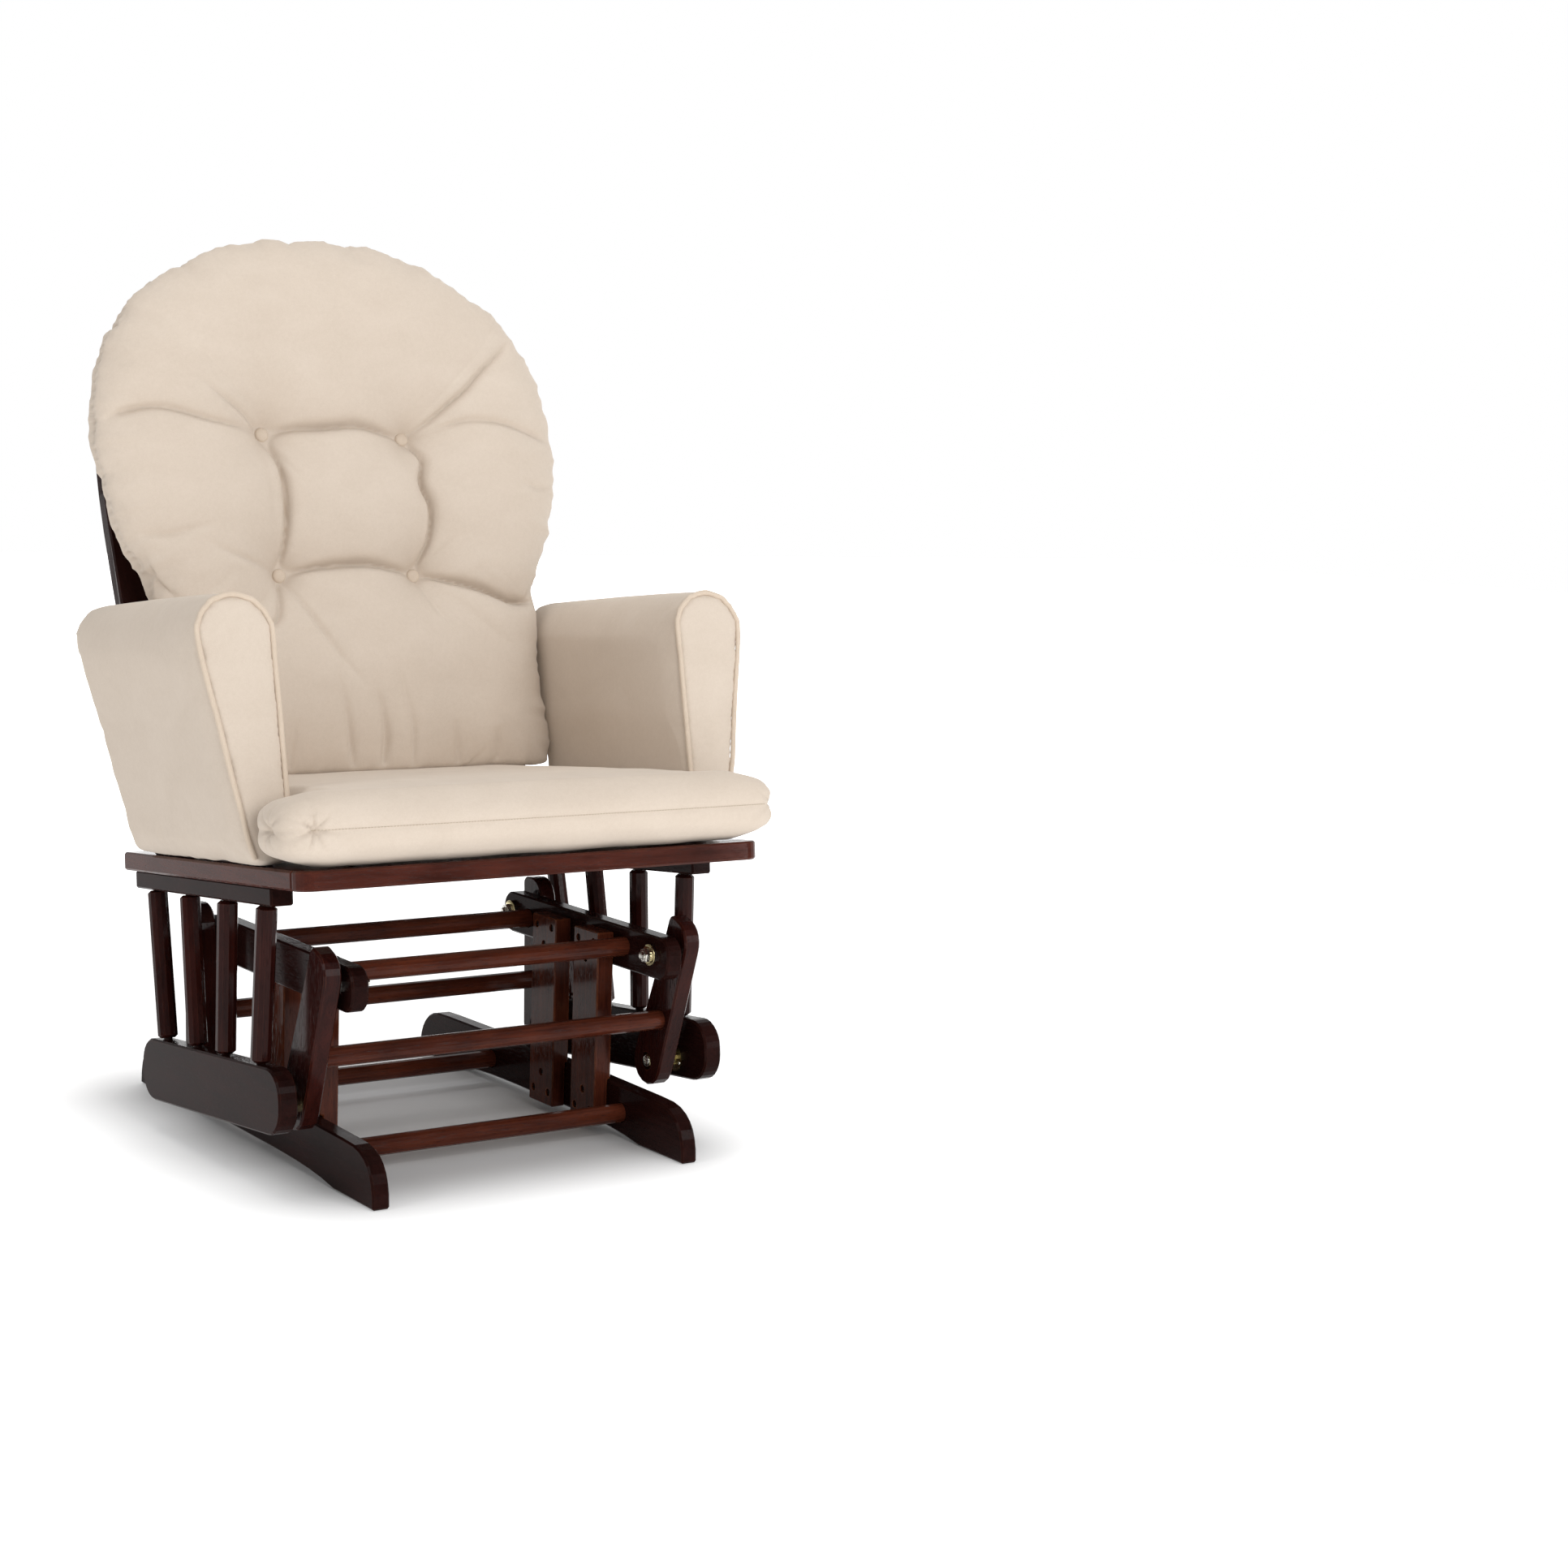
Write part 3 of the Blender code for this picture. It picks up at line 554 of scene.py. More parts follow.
# Creases as (points in the cushion's plane, depth, width, fade at start, fade at end).
CREASES = [
    ([BUTTONS["ul"], (-0.045, 0.4870), (0.010, 0.4900), (0.050, 0.4850), BUTTONS["ur"]],
     0.024, 0.011, 0, 0),
    ([BUTTONS["ll"], (-0.040, 0.3170), (0.010, 0.3205), (0.050, 0.3165), BUTTONS["lr"]],
     0.026, 0.011, 0, 0),
    ([BUTTONS["ul"], (-0.078, 0.440), (-0.079, 0.395), (-0.083, 0.345), BUTTONS["ll"]],
     0.022, 0.009, 0, 0),
    ([BUTTONS["ur"], (0.110, 0.450), (0.104, 0.420), (0.110, 0.390), (0.106, 0.350),
      BUTTONS["lr"]], 0.023, 0.009, 0, 0),
    ([BUTTONS["ul"], (-0.130, 0.503), (-0.190, 0.540)], 0.017, 0.013, 0, 1),
    ([BUTTONS["ul"], (-0.170, 0.488), (-0.235, 0.502), (-0.292, 0.490)],
     0.015, 0.016, 0.2, 0),
    ([BUTTONS["ur"], (0.150, 0.520), (0.200, 0.565), (0.256, 0.612)], 0.018, 0.016, 0, 0.6),
    ([BUTTONS["ur"], (0.180, 0.500), (0.240, 0.492), (0.300, 0.476)],
     0.014, 0.018, 0.2, 0.3),
    ([BUTTONS["ul"], (-0.074, 0.448), (-0.050, 0.405)], 0.014, 0.008, 0, 1),
    ([BUTTONS["ll"], (-0.150, 0.322), (-0.210, 0.345)], 0.012, 0.014, 0, 1),
    ([(-0.276, 0.352), (-0.225, 0.350), (-0.175, 0.362)], 0.010, 0.012, 0, 1),
    ([BUTTONS["lr"], (0.140, 0.292), (0.200, 0.272), (0.256, 0.268)],
     0.028, 0.009, 0, 0),
    ([BUTTONS["lr"], (0.118, 0.335), (0.150, 0.362)], 0.012, 0.010, 0, 1),
    ([BUTTONS["ll"], (-0.098, 0.280), (-0.115, 0.245), (-0.150, 0.232)],
     0.020, 0.010, 0, 0.7),
    ([BUTTONS["ll"], (-0.064, 0.252), (-0.040, 0.205), (-0.012, 0.165)],
     0.012, 0.012, 0, 0.9),
    ([BUTTONS["lr"], (0.100, 0.262), (0.128, 0.215)], 0.011, 0.012, 0, 1),
    ([(0.290, 0.420), (0.255, 0.412), (0.225, 0.425)], 0.010, 0.012, 0, 1),
    ([(0.010, 0.075), (0.012, 0.110), (0.002, 0.165)], 0.013, 0.010, 0, 1),
    ([(-0.030, 0.075), (-0.036, 0.120), (-0.052, 0.190)], 0.009, 0.011, 0, 1),
    ([(0.050, 0.075), (0.044, 0.130), (0.030, 0.200)], 0.008, 0.012, 0, 1),
    ([(0.110, 0.075), (0.104, 0.125)], 0.008, 0.010, 0, 1),
    ([(0.168, 0.075), (0.160, 0.115)], 0.007, 0.010, 0, 1),
    ([(-0.110, 0.075), (-0.104, 0.130)], 0.007, 0.010, 0, 1),
    ([(0.045, 0.722), (0.040, 0.690)], 0.012, 0.008, 0, 1),
]


def slab(name, outline, low, high, matrix=Matrix.Identity(4)):
    """Flat-sided solid under an (x, h) outline, thickness along the middle axis."""
    bm = bmesh.new()
    front = [bm.verts.new((x, low, h)) for x, h in outline]
    rear = [bm.verts.new((x, high, h)) for x, h in outline]
    n = len(front)
    bm.faces.new(front)
    bm.faces.new(rear[::-1])
    for i in range(n):
        j = (i + 1) % n
        bm.faces.new((front[j], front[i], rear[i], rear[j]))
    ob = mesh_object(name, bm, cloth)
    ob.data.transform(matrix)
    return ob


def fit_outline(co, outline, centre):
    """Stretch the cushion in its own plane until its rim lies on the outline."""
    away = co[:, [0, 2]] - centre
    angle = np.arctan2(away[:, 1], away[:, 0])
    radius = np.hypot(away[:, 0], away[:, 1])
    bins = 90
    slot = ((angle + math.pi) / (2 * math.pi) * bins).astype(int) % bins
    rim = np.array([radius[slot == k].max() if (slot == k).any() else 0.3
                    for k in range(bins)])
    line = outline - centre
    goal_angle = np.arctan2(line[:, 1], line[:, 0])
    order = np.argsort(goal_angle)
    middles = -math.pi + (np.arange(bins) + 0.5) * 2 * math.pi / bins
    goal = np.interp(middles, goal_angle[order], np.hypot(*line.T)[order],
                     period=2 * math.pi)
    ratio = goal / rim
    ratio = (np.roll(ratio, 1) + ratio * 2 + np.roll(ratio, -1)) / 4
    grow = np.interp(angle, middles, ratio, period=2 * math.pi)
    rim_here = np.interp(angle, middles, rim, period=2 * math.pi)
    share = smoothstep(0.25, 1.0, radius / rim_here)
    co[:, [0, 2]] = centre + away * (1 + (grow - 1) * share)[:, None]
    return co


def build_back_cushion():
    outline = back_outline()
    inner = BACK_CENTRE + (outline - BACK_CENTRE) * 0.99
    ob = slab("back_cushion_cover", inner, -0.012, 0.012)
    remesh(ob, 0.0048)
    relax(ob, 3)
    co = positions(ob)
    hold = np.zeros(len(co))
    for x, h in BUTTONS.values():
        r = np.hypot(co[:, 0] - x, co[:, 2] - h)
        hold[r < 0.009] = 1.0
    inflate(ob, 4.5, 0.040, 22, hold, 12.0, 0.15)
    co = fit_outline(positions(ob), outline, BACK_CENTRE)
    # the fibre filling crowns the cloth; the rear lies flat against the slats
    dist, _, _ = edge_distance(co[:, [0, 2]], outline)
    crown = np.sqrt(np.clip(1 - (1 - np.clip(dist / 0.095, 0, 1)) ** 2, 0, 1))
    front = co[:, 1] < 0
    blown = np.abs(co[:, 1])
    lift = 0.40 * blown + 0.60 * np.where(front, BULGE, BACK_FLAT) * crown
    co[:, 1] = np.where(front, -lift, np.minimum(lift, BACK_FLAT))
    place(ob, co)
    refine(ob)
    return ob, outline


def shape_back_cushion(ob, outline):
    """Tufting dimples, creases, edge gathers and the sewn rim."""
    co = positions(ob)
    front = co[:, 1] < 0
    sway = np.stack([noise_at(co, 17.0, 1.0), noise_at(co, 17.0, 4.0)], 1) * 0.004
    xy = co[:, [0, 2]] + sway
    dist, run, total = edge_distance(co[:, [0, 2]], outline)
    room = smoothstep(0.0, 0.045, dist)
    fields = []
    for x, h in BUTTONS.values():
        r = np.hypot(co[:, 0] - x, co[:, 2] - h)
        fields.append(0.041 * np.exp(-(r / 0.030) ** 0.95))
    for line, depth, width, fade_a, fade_b in CREASES:
        d, t = line_distance(xy, spline(line, 8))
        fade = (1 - fade_a * (1 - t)) * (1 - fade_b * t ** 1.3)
        broad = 0.36 * np.exp(-(d / (width * 2.6)) ** 1.5)
        crisp = 0.40 * np.exp(-d / (width * 0.55)) + 0.52 * np.exp(-(d / 0.0036) ** 1.3)
        fields.append(depth * fade * (broad + crisp))
    dent = np.sum([f ** 2.2 for f in fields], axis=0) ** (1 / 2.2)
    puff = noise_at(co * np.array([1, 0.2, 1]), 8.0, 3.0) * 0.005
    puff += noise_at(co * np.array([1, 0.2, 1]), 21.0, 6.0) * 0.0014
    depth = np.where(front, (dent - puff) * room, 0.0)
    depth = np.minimum(depth, np.abs(co[:, 1]) * 0.97)
    co[:, 1] += np.where(front, depth, -depth)
    place(ob, co)
    n = normals(ob)
    phase = run / total * 2 * math.pi
    ring = np.stack([np.cos(phase), np.sin(phase), np.zeros(len(co))], 1)
    ring = ring + np.where(front, 0.0, 0.35)[:, None]
    wave = np.zeros(len(co))
    for scale, amount in ((7.0, 0.8), (12.0, 1.0), (21.0, 0.6)):
        layer = noise_at(ring * scale, 1.0, scale)
        wave += amount * (0.7 - 2.6 * np.abs(layer))
    reach = np.exp(-(dist / 0.030) ** 1.4)
    co += n * (wave * reach * 0.0018)[:, None]
    pucker = 0.65 + 0.35 * np.sin(run * 2 * math.pi / 0.0105 + wave)
    rim = np.exp(-(co[:, 1] / 0.0050) ** 2) * smoothstep(0.020, 0.006, dist)
    co -= n * (rim * pucker * 0.0046)[:, None]
    place(ob, co)


back_cushion, back_line = build_back_cushion()
shape_back_cushion(back_cushion, back_line)


def level_bottom(ob, matrix, floor_z):
    """Where a cushion rests on the seat, its underside lies flat in the seat's own level."""
    to_seat = TILT_M.inverted() @ matrix
    back = to_seat.inverted()
    co = positions(ob)
    m = np.array(to_seat)
    level = co @ m[:3, :3].T + m[:3, 3]
    low = level[:, 2] < floor_z + 0.012
    t = np.clip((level[:, 2] - (floor_z - 0.02)) / 0.032, 0, 1)
    level[low, 2] = floor_z + 0.012 * t[low] ** 2
    w = np.array(back)
    place(ob, level @ w[:3, :3].T + w[:3, 3])


SEAT_TOP = 0.4115
level_bottom(back_cushion, BACK_M, SEAT_TOP - 0.0030)
back_cushion.data.transform(BACK_M)
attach(back_cushion, "seat")
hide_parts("back_cushion")


def front_surface(ob, matrix, x, h):
    """Depth of the front cloth at a point of the cushion's own plane."""
    inv = np.array(matrix.inverted())
    co = positions(ob) @ inv[:3, :3].T + inv[:3, 3]
    r = np.hypot(co[:, 0] - x, co[:, 2] - h)
    near = (r < 0.007) & (co[:, 1] < 0.01)
    return float(np.median(co[near, 1])) if near.any() else -0.01


for key, (x, h) in BUTTONS.items():
    d = front_surface(back_cushion, BACK_M, x, h)
    profile = [(-0.0060, 0.0040), (-0.0040, 0.0072), (-0.0010, 0.0086), (0.0012, 0.0084),
               (0.0026, 0.0070), (0.0034, 0.0048), (0.0038, 0.0020)]
    button = turned("button_" + key, profile, (0, 0, 0), (0, -1, 0), button_cloth, 28)
    button.data.transform(BACK_M @ Matrix.Translation((x, d - 0.0002, h)))
    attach(button, "seat")

# ---------------------------------------------------------------- seat cushion
CUSHION_LOW, CUSHION_HALF, EAR_HALF = 0.3340, 0.2430, 0.3070
CUSHION_FRONT, CUSHION_REAR, EAR_REAR = -0.3390, 0.1300, -0.2500
SEAM_Z = 0.3735
SEAM_X = (-0.274, 0.2861)         # the sewn front seam's two ends
BETWEEN_ARMS = 0.2475             # half width of the cushion where the arms flank it
# gathered stars where the seam turns the corners: x, y, strength
STARS = [(-0.272, CUSHION_FRONT, 1.0), (-EAR_HALF, -0.293, 0.9),
         (0.299, CUSHION_FRONT + 0.018, 0.8), (EAR_HALF, -0.285, 0.8)]


def seat_outline():
    r = 0.030
    pts = []

    def corner(cx, cy, radius, a0, a1, steps=6):
        rx, ry = radius if isinstance(radius, tuple) else (radius, radius)
        for i in range(steps + 1):
            a = math.radians(a0 + (a1 - a0) * i / steps)
            pts.append((cx + rx * math.cos(a), cy + ry * math.sin(a)))

    corner(EAR_HALF - 0.036, CUSHION_FRONT + r, (0.036, r), -90, 0)
    corner(EAR_HALF - 0.022, EAR_REAR - 0.022, 0.022, 0, 90)
    pts.append((CUSHION_HALF + 0.010, EAR_REAR))
    corner(CUSHION_HALF - 0.024, CUSHION_REAR - 0.024, 0.024, 0, 90)
    return pts + [(-x, y) for x, y in pts[::-1]]


def build_seat_cushion():
    swap = Matrix(((1, 0, 0, 0), (0, 0, 1, 0), (0, 1, 0, 0), (0, 0, 0, 1)))
    outline = np.array(seat_outline())
    ob = slab("seat_cushion_cover", outline, CUSHION_LOW + 0.004, SEAT_TOP - 0.004, swap)
    mod = ob.modifiers.new("round", "BEVEL")
    mod.width = 0.026
    mod.segments = 5
    mod.limit_method = "ANGLE"
    mod.angle_limit = math.radians(60)
    apply_modifiers(ob)
    remesh(ob, 0.0052)
    relax(ob, 4)
    inflate(ob, 3.0, 0.0045, 12, None, 18.0, 0.6)
    refine(ob)
    co = positions(ob)
    top = smoothstep(SEAT_TOP - 0.022, SEAT_TOP - 0.004, co[:, 2])
    inner = smoothstep(0.0, 0.12, CUSHION_HALF + 0.02 - np.abs(co[:, 0]))
    co[:, 2] += 0.004 * top * inner * smoothstep(0, 0.15, co[:, 1] - CUSHION_FRONT)
    co[:, 2] = np.where(co[:, 2] < CUSHION_LOW, CUSHION_LOW, co[:, 2])
    rear = co[:, 1] > EAR_REAR
    limit = np.where(rear & (np.abs(co[:, 0]) < 0.275), BETWEEN_ARMS, 1.0)
    ease_in = smoothstep(EAR_REAR - 0.004, EAR_REAR + 0.012, co[:, 1])
    over = np.abs(co[:, 0]) > limit
    co[:, 0] = np.where(over, np.sign(co[:, 0]) * (limit + (np.abs(co[:, 0]) - limit)
                                                  * (1 - ease_in)), co[:, 0])
    # the ears thin towards their ends, where the seam closes them
    tip = smoothstep(EAR_HALF - 0.060, EAR_HALF, np.abs(co[:, 0]))
    tip = tip * smoothstep(EAR_REAR + 0.010, EAR_REAR - 0.010, co[:, 1])
    co[:, 2] = SEAM_Z + (co[:, 2] - SEAM_Z) * (1 - 0.17 * tip)
    place(ob, co)
    n = normals(ob)
    wrinkle = noise_at(co * np.array([1, 1, 1.6]), 16.0, 5.0) * 0.0011
    wrinkle += noise_at(co, 38.0, 9.0) * 0.0004
    face = smoothstep(-0.20, -0.60, n[:, 1])           # the front face
    end = smoothstep(0.35, 0.75, np.abs(n[:, 0])) * (co[:, 1] < EAR_REAR)
    side = np.maximum(face, end)
    seam = np.exp(-((co[:, 2] - SEAM_Z) / 0.0020) ** 2) * side
    soft = np.exp(-((co[:, 2] - SEAM_Z) / 0.0080) ** 2) * side
    shift = wrinkle - 0.0013 * seam - 0.0009 * soft
    for px, py, size in STARS:
        across = (co[:, 0] - px) if abs(px) < 0.3 else (co[:, 1] - py)
        up = co[:, 2] - SEAM_Z
        away = np.sqrt((co[:, 0] - px) ** 2 + (co[:, 1] - py) ** 2 + up ** 2)
        angle = np.arctan2(up, across)
        rays = (1 - np.abs(np.sin(angle * 3.5 + 0.5)) * 1.5)
        shift -= size * 0.0066 * np.exp(-(away / 0.007) ** 2)
        shift -= size * 0.0044 * np.clip(rays, 0, 1) * np.exp(-(away / 0.024) ** 2)
    place(ob, co + n * shift[:, None])
    return ob


seat_cushion = build_seat_cushion()


def surface_line(ob, points, direction, lift):
    """Points dropped along a direction onto a mesh, then raised a little off it."""
    tree = BVHTree.FromObject(ob, bpy.context.evaluated_depsgraph_get())
    out = []
    for p in points:
        hit = tree.ray_cast(Vector(p) - Vector(direction) * 0.2, Vector(direction))
        if hit[0] is not None:
            out.append(hit[0] + hit[1] * lift)
    return out


def stitches(name, line, length, gap, radius, mat, matrix):
    """Short thread stitches lying along a line of points."""
    bm = bmesh.new()
    pts = np.array(line, float)
    run = np.concatenate([[0], np.cumsum(np.linalg.norm(np.diff(pts, axis=0), axis=1))])
    at = 0.0
    while at + length < run[-1]:
        a, b = [Vector([np.interp(s, run, pts[:, k]) for k in range(3)])
                for s in (at, at + length)]
        way = (b - a).normalized()
        side = way.orthogonal().normalized()
        up = way.cross(side)
        skin(bm, [ring(bm, a.lerp(b, f), side, up, radius * r, 6)
                  for f, r in ((0.0, 0.45), (0.25, 1.0), (0.75, 1.0), (1.0, 0.45))])
        at += length + gap
    ob = mesh_object(name, bm, mat)
    ob.data.transform(matrix)
    return ob


front_seam = surface_line(seat_cushion,
                          [(x, CUSHION_FRONT, SEAM_Z) for x in
                           np.arange(*SEAM_X, 0.004)], (0, 1, 0), 0.0001)
seat_stitching = stitches("seat_cushion_stitching", front_seam, 0.0026, 0.0010, 0.00045,
                          thread, TILT_M)
seat_cushion.data.transform(TILT_M)
for piece in (seat_cushion, seat_stitching):
    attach(piece, "seat")
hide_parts("seat_cushion")

# ---------------------------------------------------------------- arms
ARM_IN, ARM_LOW, ARM_TOP = 0.2520, 0.3335, 0.6190
ARM_MIDDLE, ARM_ROLL = 0.2960, (0.0440, 0.0420)   # the rolled top, as an ellipse
ARM_CLEAR = 0.2506                # nothing of the arm comes nearer the cushions than this
PIPING_R = 0.0030


def arm_front(z):
    return -0.2400 + 0.127 * (z - 0.338)


def arm_rear(z):
    return 0.0920 + 0.222 * (z - 0.343)


def arm_section():
    """Closed outline of the arm in (x, z): up the inner side, over the top, down outside."""
    rx, rz = ARM_ROLL
    shoulder = ARM_TOP - rz
    pts = [(0.2560, ARM_LOW), (ARM_IN, ARM_LOW + 0.010), (ARM_IN, 0.42), (ARM_IN, 0.50)]
    for i in range(13):
        a = math.radians(180 - 15 * i)
        pts.append((ARM_MIDDLE + rx * math.cos(a), shoulder + rz * math.sin(a)))
    pts += [(0.3365, 0.545), (0.3255, 0.490), (0.3130, 0.420), (0.3025, 0.362),
            (0.2965, 0.340), (0.2900, ARM_LOW)]
    return pts


def build_arm():
    outline = arm_section()
    bm = bmesh.new()
    front = [bm.verts.new((x, arm_front(z), z)) for x, z in outline]
    rear = [bm.verts.new((x, arm_rear(z), z)) for x, z in outline]
    n = len(front)
    bm.faces.new(front)
    bm.faces.new(rear[::-1])
    for i in range(n):
        j = (i + 1) % n
        bm.faces.new((front[j], front[i], rear[i], rear[j]))
    ob = mesh_object("arm_cover", bm, cloth)
    remesh(ob, 0.0052)
    relax(ob, 1)
    co = positions(ob)
    rim, _, _ = edge_distance(co[:, [0, 2]], np.array(arm_section()))
    ahead = co[:, 1] - np.array([arm_front(z) for z in co[:, 2]])
    hold = np.where((rim < 0.007) & (ahead < 0.007), 1.0, 0.0)
    inflate(ob, 3.0, 0.0045, 12, hold, 20.0, 0.8)
    relax(ob, 3)
    refine(ob)
    co = positions(ob)
    nrm = normals(ob)
    low = smoothstep(0.395, 0.335, co[:, 2])
    tuck = noise_at(co * np.array([1, 1, 0.25]), 46.0, 2.0)
    drape = noise_at(co * np.array([1, 1, 0.5]), 9.0, 8.0)
    co += nrm * (0.0011 * drape + 0.0016 * low * tuck)[:, None]
    co[:, 2] = np.maximum(co[:, 2], ARM_LOW - 0.0005)
    above_seat = smoothstep(0.42, 0.50, co[:, 2])
    co[:, 0] = np.maximum(co[:, 0], ARM_CLEAR - 0.004 * above_seat)
    # a shallow valley under the piping round the front panel
    rim, _, _ = edge_distance(co[:, [0, 2]], np.array(arm_section()))
    ahead = co[:, 1] - np.array([arm_front(z) for z in co[:, 2]])
    seam = np.exp(-(rim / 0.006) ** 2) * np.exp(-(ahead / 0.008) ** 2)
    nrm = normals(ob)
    pull = 0.75 + 0.25 * np.sin(co[:, 2] * 2 * math.pi / 0.009)
    co -= nrm * (0.0026 * seam * pull)[:, None]
    place(ob, co)
    return ob


def piping_line():
    """The cord follows the front panel's edge, from the seat board up and over the arm."""
    pts = np.array(arm_section())
    keep = spline(pts[1:-1], 4)
    out = []
    for x, z in keep:
        out.append((x, arm_front(z) + 0.0010, z))
    return out


def snapped(points, ob, lift):
    """The same line, each point moved to just off the nearest surface."""
    tree = BVHTree.FromObject(ob, bpy.context.evaluated_depsgraph_get())
    out = []
    for p in points:
        spot, normal, _, _ = tree.find_nearest(Vector(p))
        out.append(np.array(spot + normal * lift))
    return spline(out[::2], 2)


arm_master = build_arm()
pipe_points = snapped(piping_line(), arm_master, 0.0020)
for side, s in SIDES.items():
    cover = arm_master.copy()
    cover.data = arm_master.data.copy()
    cover.name = "arm_cover_" + side
    bpy.context.scene.collection.objects.link(cover)
    flip = Matrix.Diagonal((s, 1, 1, 1))
    cover.data.transform(TILT_M @ flip)
    if s < 0:
        cover.data.flip_normals()
    pipe = tube("arm_piping_" + side, [TILT_M @ flip @ Vector(p) for p in pipe_points],
                PIPING_R, cord_cloth, sides=12, wobble=0.10)
    for piece in (cover, pipe):
        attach(piece, "seat")
    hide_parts("arm_pad_" + side)
bpy.data.objects.remove(arm_master)

# ---------------------------------------------------------------- hardware details
BEAM_X, POST_T = 0.1865, 0.022    # inner face of a hanger beam, thickness of a post
POST_Y = {"front": (-0.1552, -0.1006), "rear": (-0.0580, -0.0034)}
POST_Z = (0.0100, 0.2392)
POST_SCREW_R = 0.0038
# three screws at each end of a post, as (along, up) from a point near that end
SCREW_SPOTS = ((-0.017, 0.010), (0.017, 0.010), (0.0, -0.012))


def pan_screw(name, centre, axis, radius, mat, sides):
    """Low domed screw head with a cross recess."""
    profile = [(-0.0006, radius), (0.0004, radius), (0.0011, radius * 0.86),
               (0.0016, radius * 0.60), (0.0018, radius * 0.30)]
    ob = turned(name, profile, (0, 0, 0), (1, 0, 0), mat, sides)
    tools = []
    for turn in (0.0, math.pi / 2):
        bm = bmesh.new()
        bmesh.ops.create_cube(bm, size=1.0)
        tool = mesh_object(name + "_slot", bm, mat, False)
        tool.data.transform(Matrix.Translation((0.0018, 0, 0)) @ Matrix.Rotation(turn, 4, "X")
                            @ Matrix.Diagonal((0.0022, radius * 1.15, radius * 0.24, 1)))
        mod = ob.modifiers.new("slot", "BOOLEAN")
        mod.operation = "DIFFERENCE"
        mod.solver = "EXACT"
        mod.object = tool
        tools.append(tool)
    apply_modifiers(ob)
    for tool in tools:
        bpy.data.objects.remove(tool)
    return facing(ob, axis, centre)


def add(piece, body):
    piece.data.transform(SHIFT)
    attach(piece, body)
    return piece


for side, s in SIDES.items():
    face = BEAM_X - POST_T + 0.0034          # where the screw heads seat on a post
    for end, (y0, y1) in POST_Y.items():
        yc = (y0 + y1) / 2
        for level, zc, flip in (("top", POST_Z[1] - 0.022, 1),
                                ("low", POST_Z[0] + 0.026, -1)):
            for k, (dy, dz) in enumerate(SCREW_SPOTS):
                head = pan_screw("screw_%s_%s_%s_%d" % (level, end, side, k),
                                 (s * face, yc + dy, zc + dz * flip),
                                 (-s, 0, 0), POST_SCREW_R, screw_black, 20)
                add(head, "base")

# (y, z) of the swing links' pivots
PIVOT_TOP = {"front": (-0.2372, 0.2265), "rear": (0.0839, 0.2265)}
PIVOT_LOW = {"front": (-0.1877, 0.0890), "rear": (0.0737, 0.0807)}
LINK_X, RAIL_X = 0.2147, 0.2565   # inner faces of the links and of the lower rails
WASHER = {"inner": 0.0062, "outer": 0.0124, "thick": 0.0014}
NUT = {"across": 0.0150, "thick": 0.0072}
BOLT_HEAD_R, FLANGE_SCREW_R, FLANGE_RING_R = 0.0066, 0.0020, 0.0125


def hex_nut(name, centre, axis, across, thick, mat):
    """Six-sided nut with chamfered corners and a threaded end standing out of it."""
    r = across / math.sqrt(3)
    nut = turned(name, [(0.0, r * 0.92), (thick * 0.12, r), (thick * 0.84, r),
                        (thick, r * 0.88), (thick, across * 0.30),
                        (thick * 1.45, across * 0.30), (thick * 1.55, across * 0.22)],
                 (0, 0, 0), (1, 0, 0), mat, 6)
    for p in nut.data.polygons:
        p.use_smooth = False
    return facing(nut, axis, centre)


def washer(name, centre, axis, inner, outer, thick, mat):
    return turned(name, [(0.0, inner), (0.0, outer - 0.0004), (0.0004, outer),
                         (thick - 0.0003, outer), (thick, outer - 0.0004),
                         (thick, inner)], centre, axis, mat, 36)


for side, s in SIDES.items():
    for end in ("front", "rear"):
        y, z = PIVOT_TOP[end]
        face = BEAM_X - 0.0034               # end of the bolt's shoulder
        inward = (-s, 0, 0)
        add(washer("washer_%s_%s" % (end, side), (s * face, y, z), inward, mat=brassy,
                   **WASHER), "base")
        face -= WASHER["thick"]
        add(hex_nut("nut_%s_%s" % (end, side), (s * face, y, z), inward, mat=zinc, **NUT),
            "base")
        y, z = PIVOT_LOW[end]
        # cross-recessed bolt head inside the link's counterbore, and the flange's screws
        add(pan_screw("bolt_head_%s_%s" % (end, side), (s * (LINK_X + 0.0004), y, z),
                      inward, BOLT_HEAD_R, zinc, 28), "seat")
        for k, turn in enumerate((80, 200, 320)):
            a = math.radians(turn)
            spot = (s * (RAIL_X - 0.0030), y + FLANGE_RING_R * math.cos(a),
                    z + FLANGE_RING_R * math.sin(a))
            add(pan_screw("flange_screw_%s_%s_%d" % (end, side, k), spot, inward,
                          FLANGE_SCREW_R, zinc, 14), "seat")


# ---------------------------------------------------------------- floor, light, camera
BACKDROP = (0.58, 0.81, 0.0)      # the way from the chair to the paper behind it
# name, place, aim, size and power of each softbox
SOFTBOXES = [
    ("key", (0.3, -3.6, 1.7), (0.0, 0.0, 0.5), (2.4, 1.8), 66.0),
    ("top", (0.1, 0.2, 3.2), (0.0, 0.0, 0.0), (2.4, 2.4), 34.0),
    ("left", (-3.2, -0.8, 1.5), (0.0, 0.0, 0.5), (1.2, 1.8), 22.0),
    ("strip_over", (-0.2, -3.2, 2.1), (0.0, 0.0, 0.3), (2.6, 0.10), 9.0),
    ("strip_side", (1.9, -2.6, 1.0), (0.0, 0.0, 0.3), (0.10, 1.8), 7.0),
]


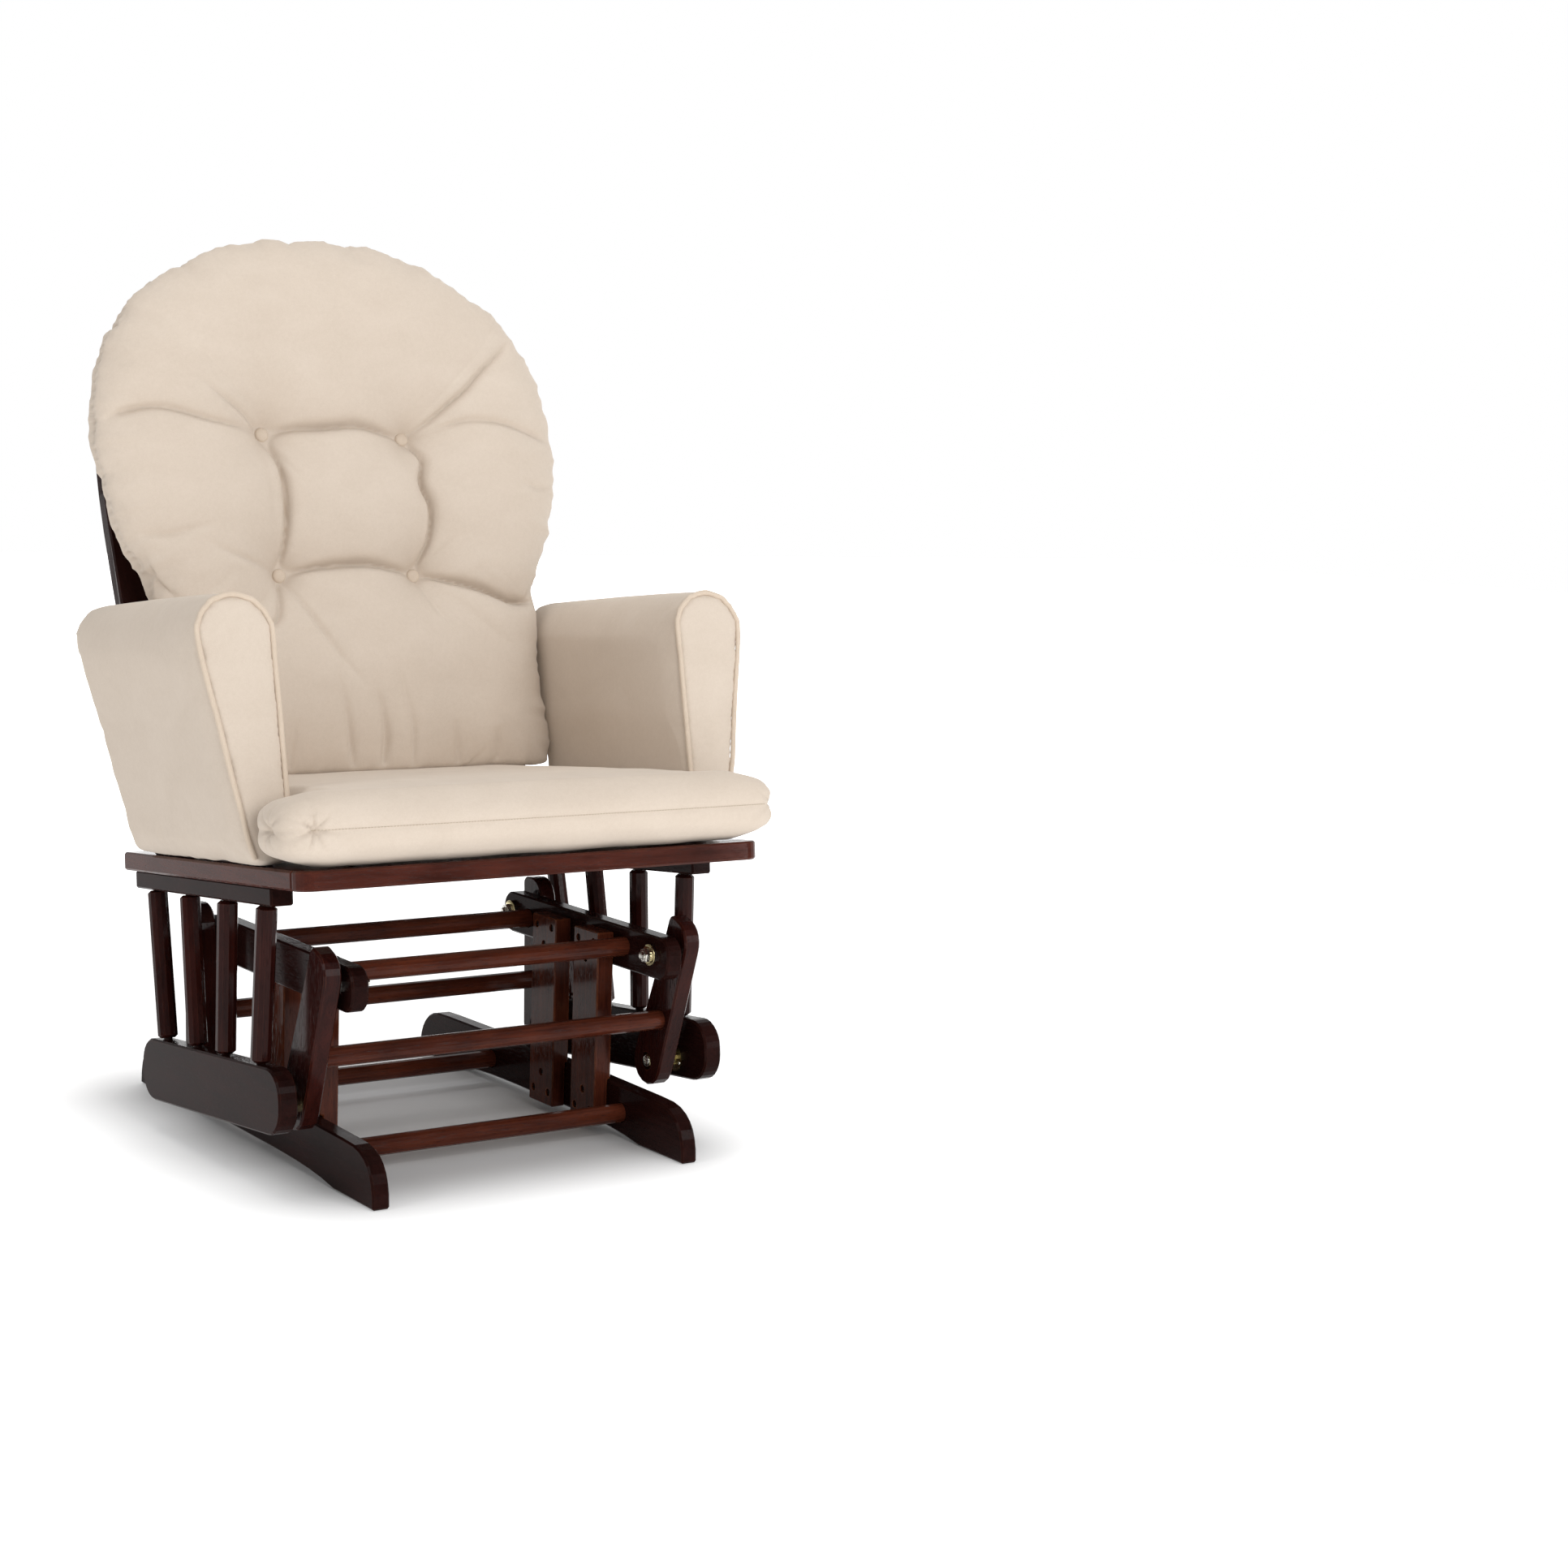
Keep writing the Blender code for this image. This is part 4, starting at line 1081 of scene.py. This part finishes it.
def room():
    """A bright paper backdrop behind the chair, the dim rest of the room elsewhere."""
    world = bpy.data.worlds.new("studio")
    bpy.context.scene.world = world
    world.use_nodes = True
    tree = world.node_tree
    background = tree.nodes["Background"]
    background.inputs["Color"].default_value = (1.0, 1.0, 1.0, 1.0)
    where = tree.nodes.new("ShaderNodeTexCoord")
    toward = tree.nodes.new("ShaderNodeVectorMath")
    toward.operation = "DOT_PRODUCT"
    toward.inputs[1].default_value = BACKDROP
    tree.links.new(where.outputs["Generated"], toward.inputs[0])
    band = tree.nodes.new("ShaderNodeMapRange")
    band.interpolation_type = "SMOOTHSTEP"
    for socket, value in zip(("From Min", "From Max", "To Min", "To Max"),
                             (0.55, 0.86, 0.34, 1.0)):
        band.inputs[socket].default_value = value
    tree.links.new(toward.outputs["Value"], band.inputs["Value"])
    tree.links.new(band.outputs["Result"], background.inputs["Strength"])


def floor_with_painted_light():
    bm = bmesh.new()
    bmesh.ops.create_grid(bm, x_segments=8, y_segments=8, size=14.0)
    s = Shader("floor_with_painted_light")
    grain = s.noise(s.mapped((1, 1, 1)), 3.0, 2.0)
    s.into("Base Color", s.ramp(grain, (0.3, 0.69), (0.7, 0.71)))
    s.set(Roughness=0.9, Specular_IOR_Level=0.1, Emission_Color=(1.0, 1.0, 1.0, 1.0))
    # painted light: far behind the chair the flat floor glows, as if it curved up into a
    # bright backdrop there
    reach = s.node("VectorMath", {0: s.place}, operation="LENGTH").outputs["Value"]
    behind = s.node("VectorMath", {0: s.place}, operation="DOT_PRODUCT")
    behind.inputs[1].default_value = BACKDROP
    painted_far_glow = s.math("MULTIPLY", s.smooth(behind.outputs["Value"], 0.5, 2.0),
                  s.smooth(reach, 0.9, 2.2))
    # painted shadow: no glow under the chair, and a glow rising to 0.66 beyond the runners,
    # which deepens the lamps' real shade under the chair
    past = s.place
    for operation, other in (("ABSOLUTE", None), ("SUBTRACT", (0.17, 0.22, 0.0)),
                             ("MAXIMUM", (0.0, 0.0, 0.0))):
        step = s.node("VectorMath", {0: past}, operation=operation)
        if other:
            step.inputs[1].default_value = other
        past = step.outputs["Vector"]
    past = s.node("VectorMath", {0: past}, operation="LENGTH").outputs["Value"]
    # the floor's emission is painted light far off and painted shadow near the chair, not a
    # lamp
    s.into("Emission Strength",
           s.math("ADD", s.math("MULTIPLY", painted_far_glow, 0.7),
                  s.math("MULTIPLY", s.smooth(past, 0.0, 0.21), 0.66)))
    floor = mesh_object("floor", bm, s.mat, False)
    floor.location.z = -0.0008


def softbox(name, where, target, size, power):
    data = bpy.data.lights.new(name, "AREA")
    data.shape = "RECTANGLE"
    data.size, data.size_y = size
    data.energy = power
    ob = bpy.data.objects.new(name, data)
    bpy.context.scene.collection.objects.link(ob)
    ob.location = where
    aim = Vector(target) - Vector(where)
    ob.rotation_euler = aim.to_track_quat("-Z", "Y").to_euler()


room()
floor_with_painted_light()
for box in SOFTBOXES:
    softbox(*box)

CAMERA_AT = (-1.4237, -2.7503, 0.8006)
YAW, PITCH, ROLL = math.radians(-35.55), math.radians(-7.14), math.radians(1.956)
ahead = Vector((-math.sin(YAW) * math.cos(PITCH), math.cos(YAW) * math.cos(PITCH),
                math.sin(PITCH)))
right = Vector((math.cos(YAW), math.sin(YAW), 0))
up = right.cross(ahead)
right, up = (right * math.cos(ROLL) + up * math.sin(ROLL),
             up * math.cos(ROLL) - right * math.sin(ROLL))
camera_data = bpy.data.cameras.new("camera")
camera_data.sensor_width = 36.0
camera_data.lens = 60.6
camera = bpy.data.objects.new("camera", camera_data)
bpy.context.scene.collection.objects.link(camera)
camera.matrix_world = Matrix.Translation(CAMERA_AT) @ Matrix(
    (right, up, -ahead)).transposed().to_4x4()
bpy.context.scene.camera = camera
bpy.context.scene.view_settings.view_transform = "Standard"

bpy.context.view_layer.update()
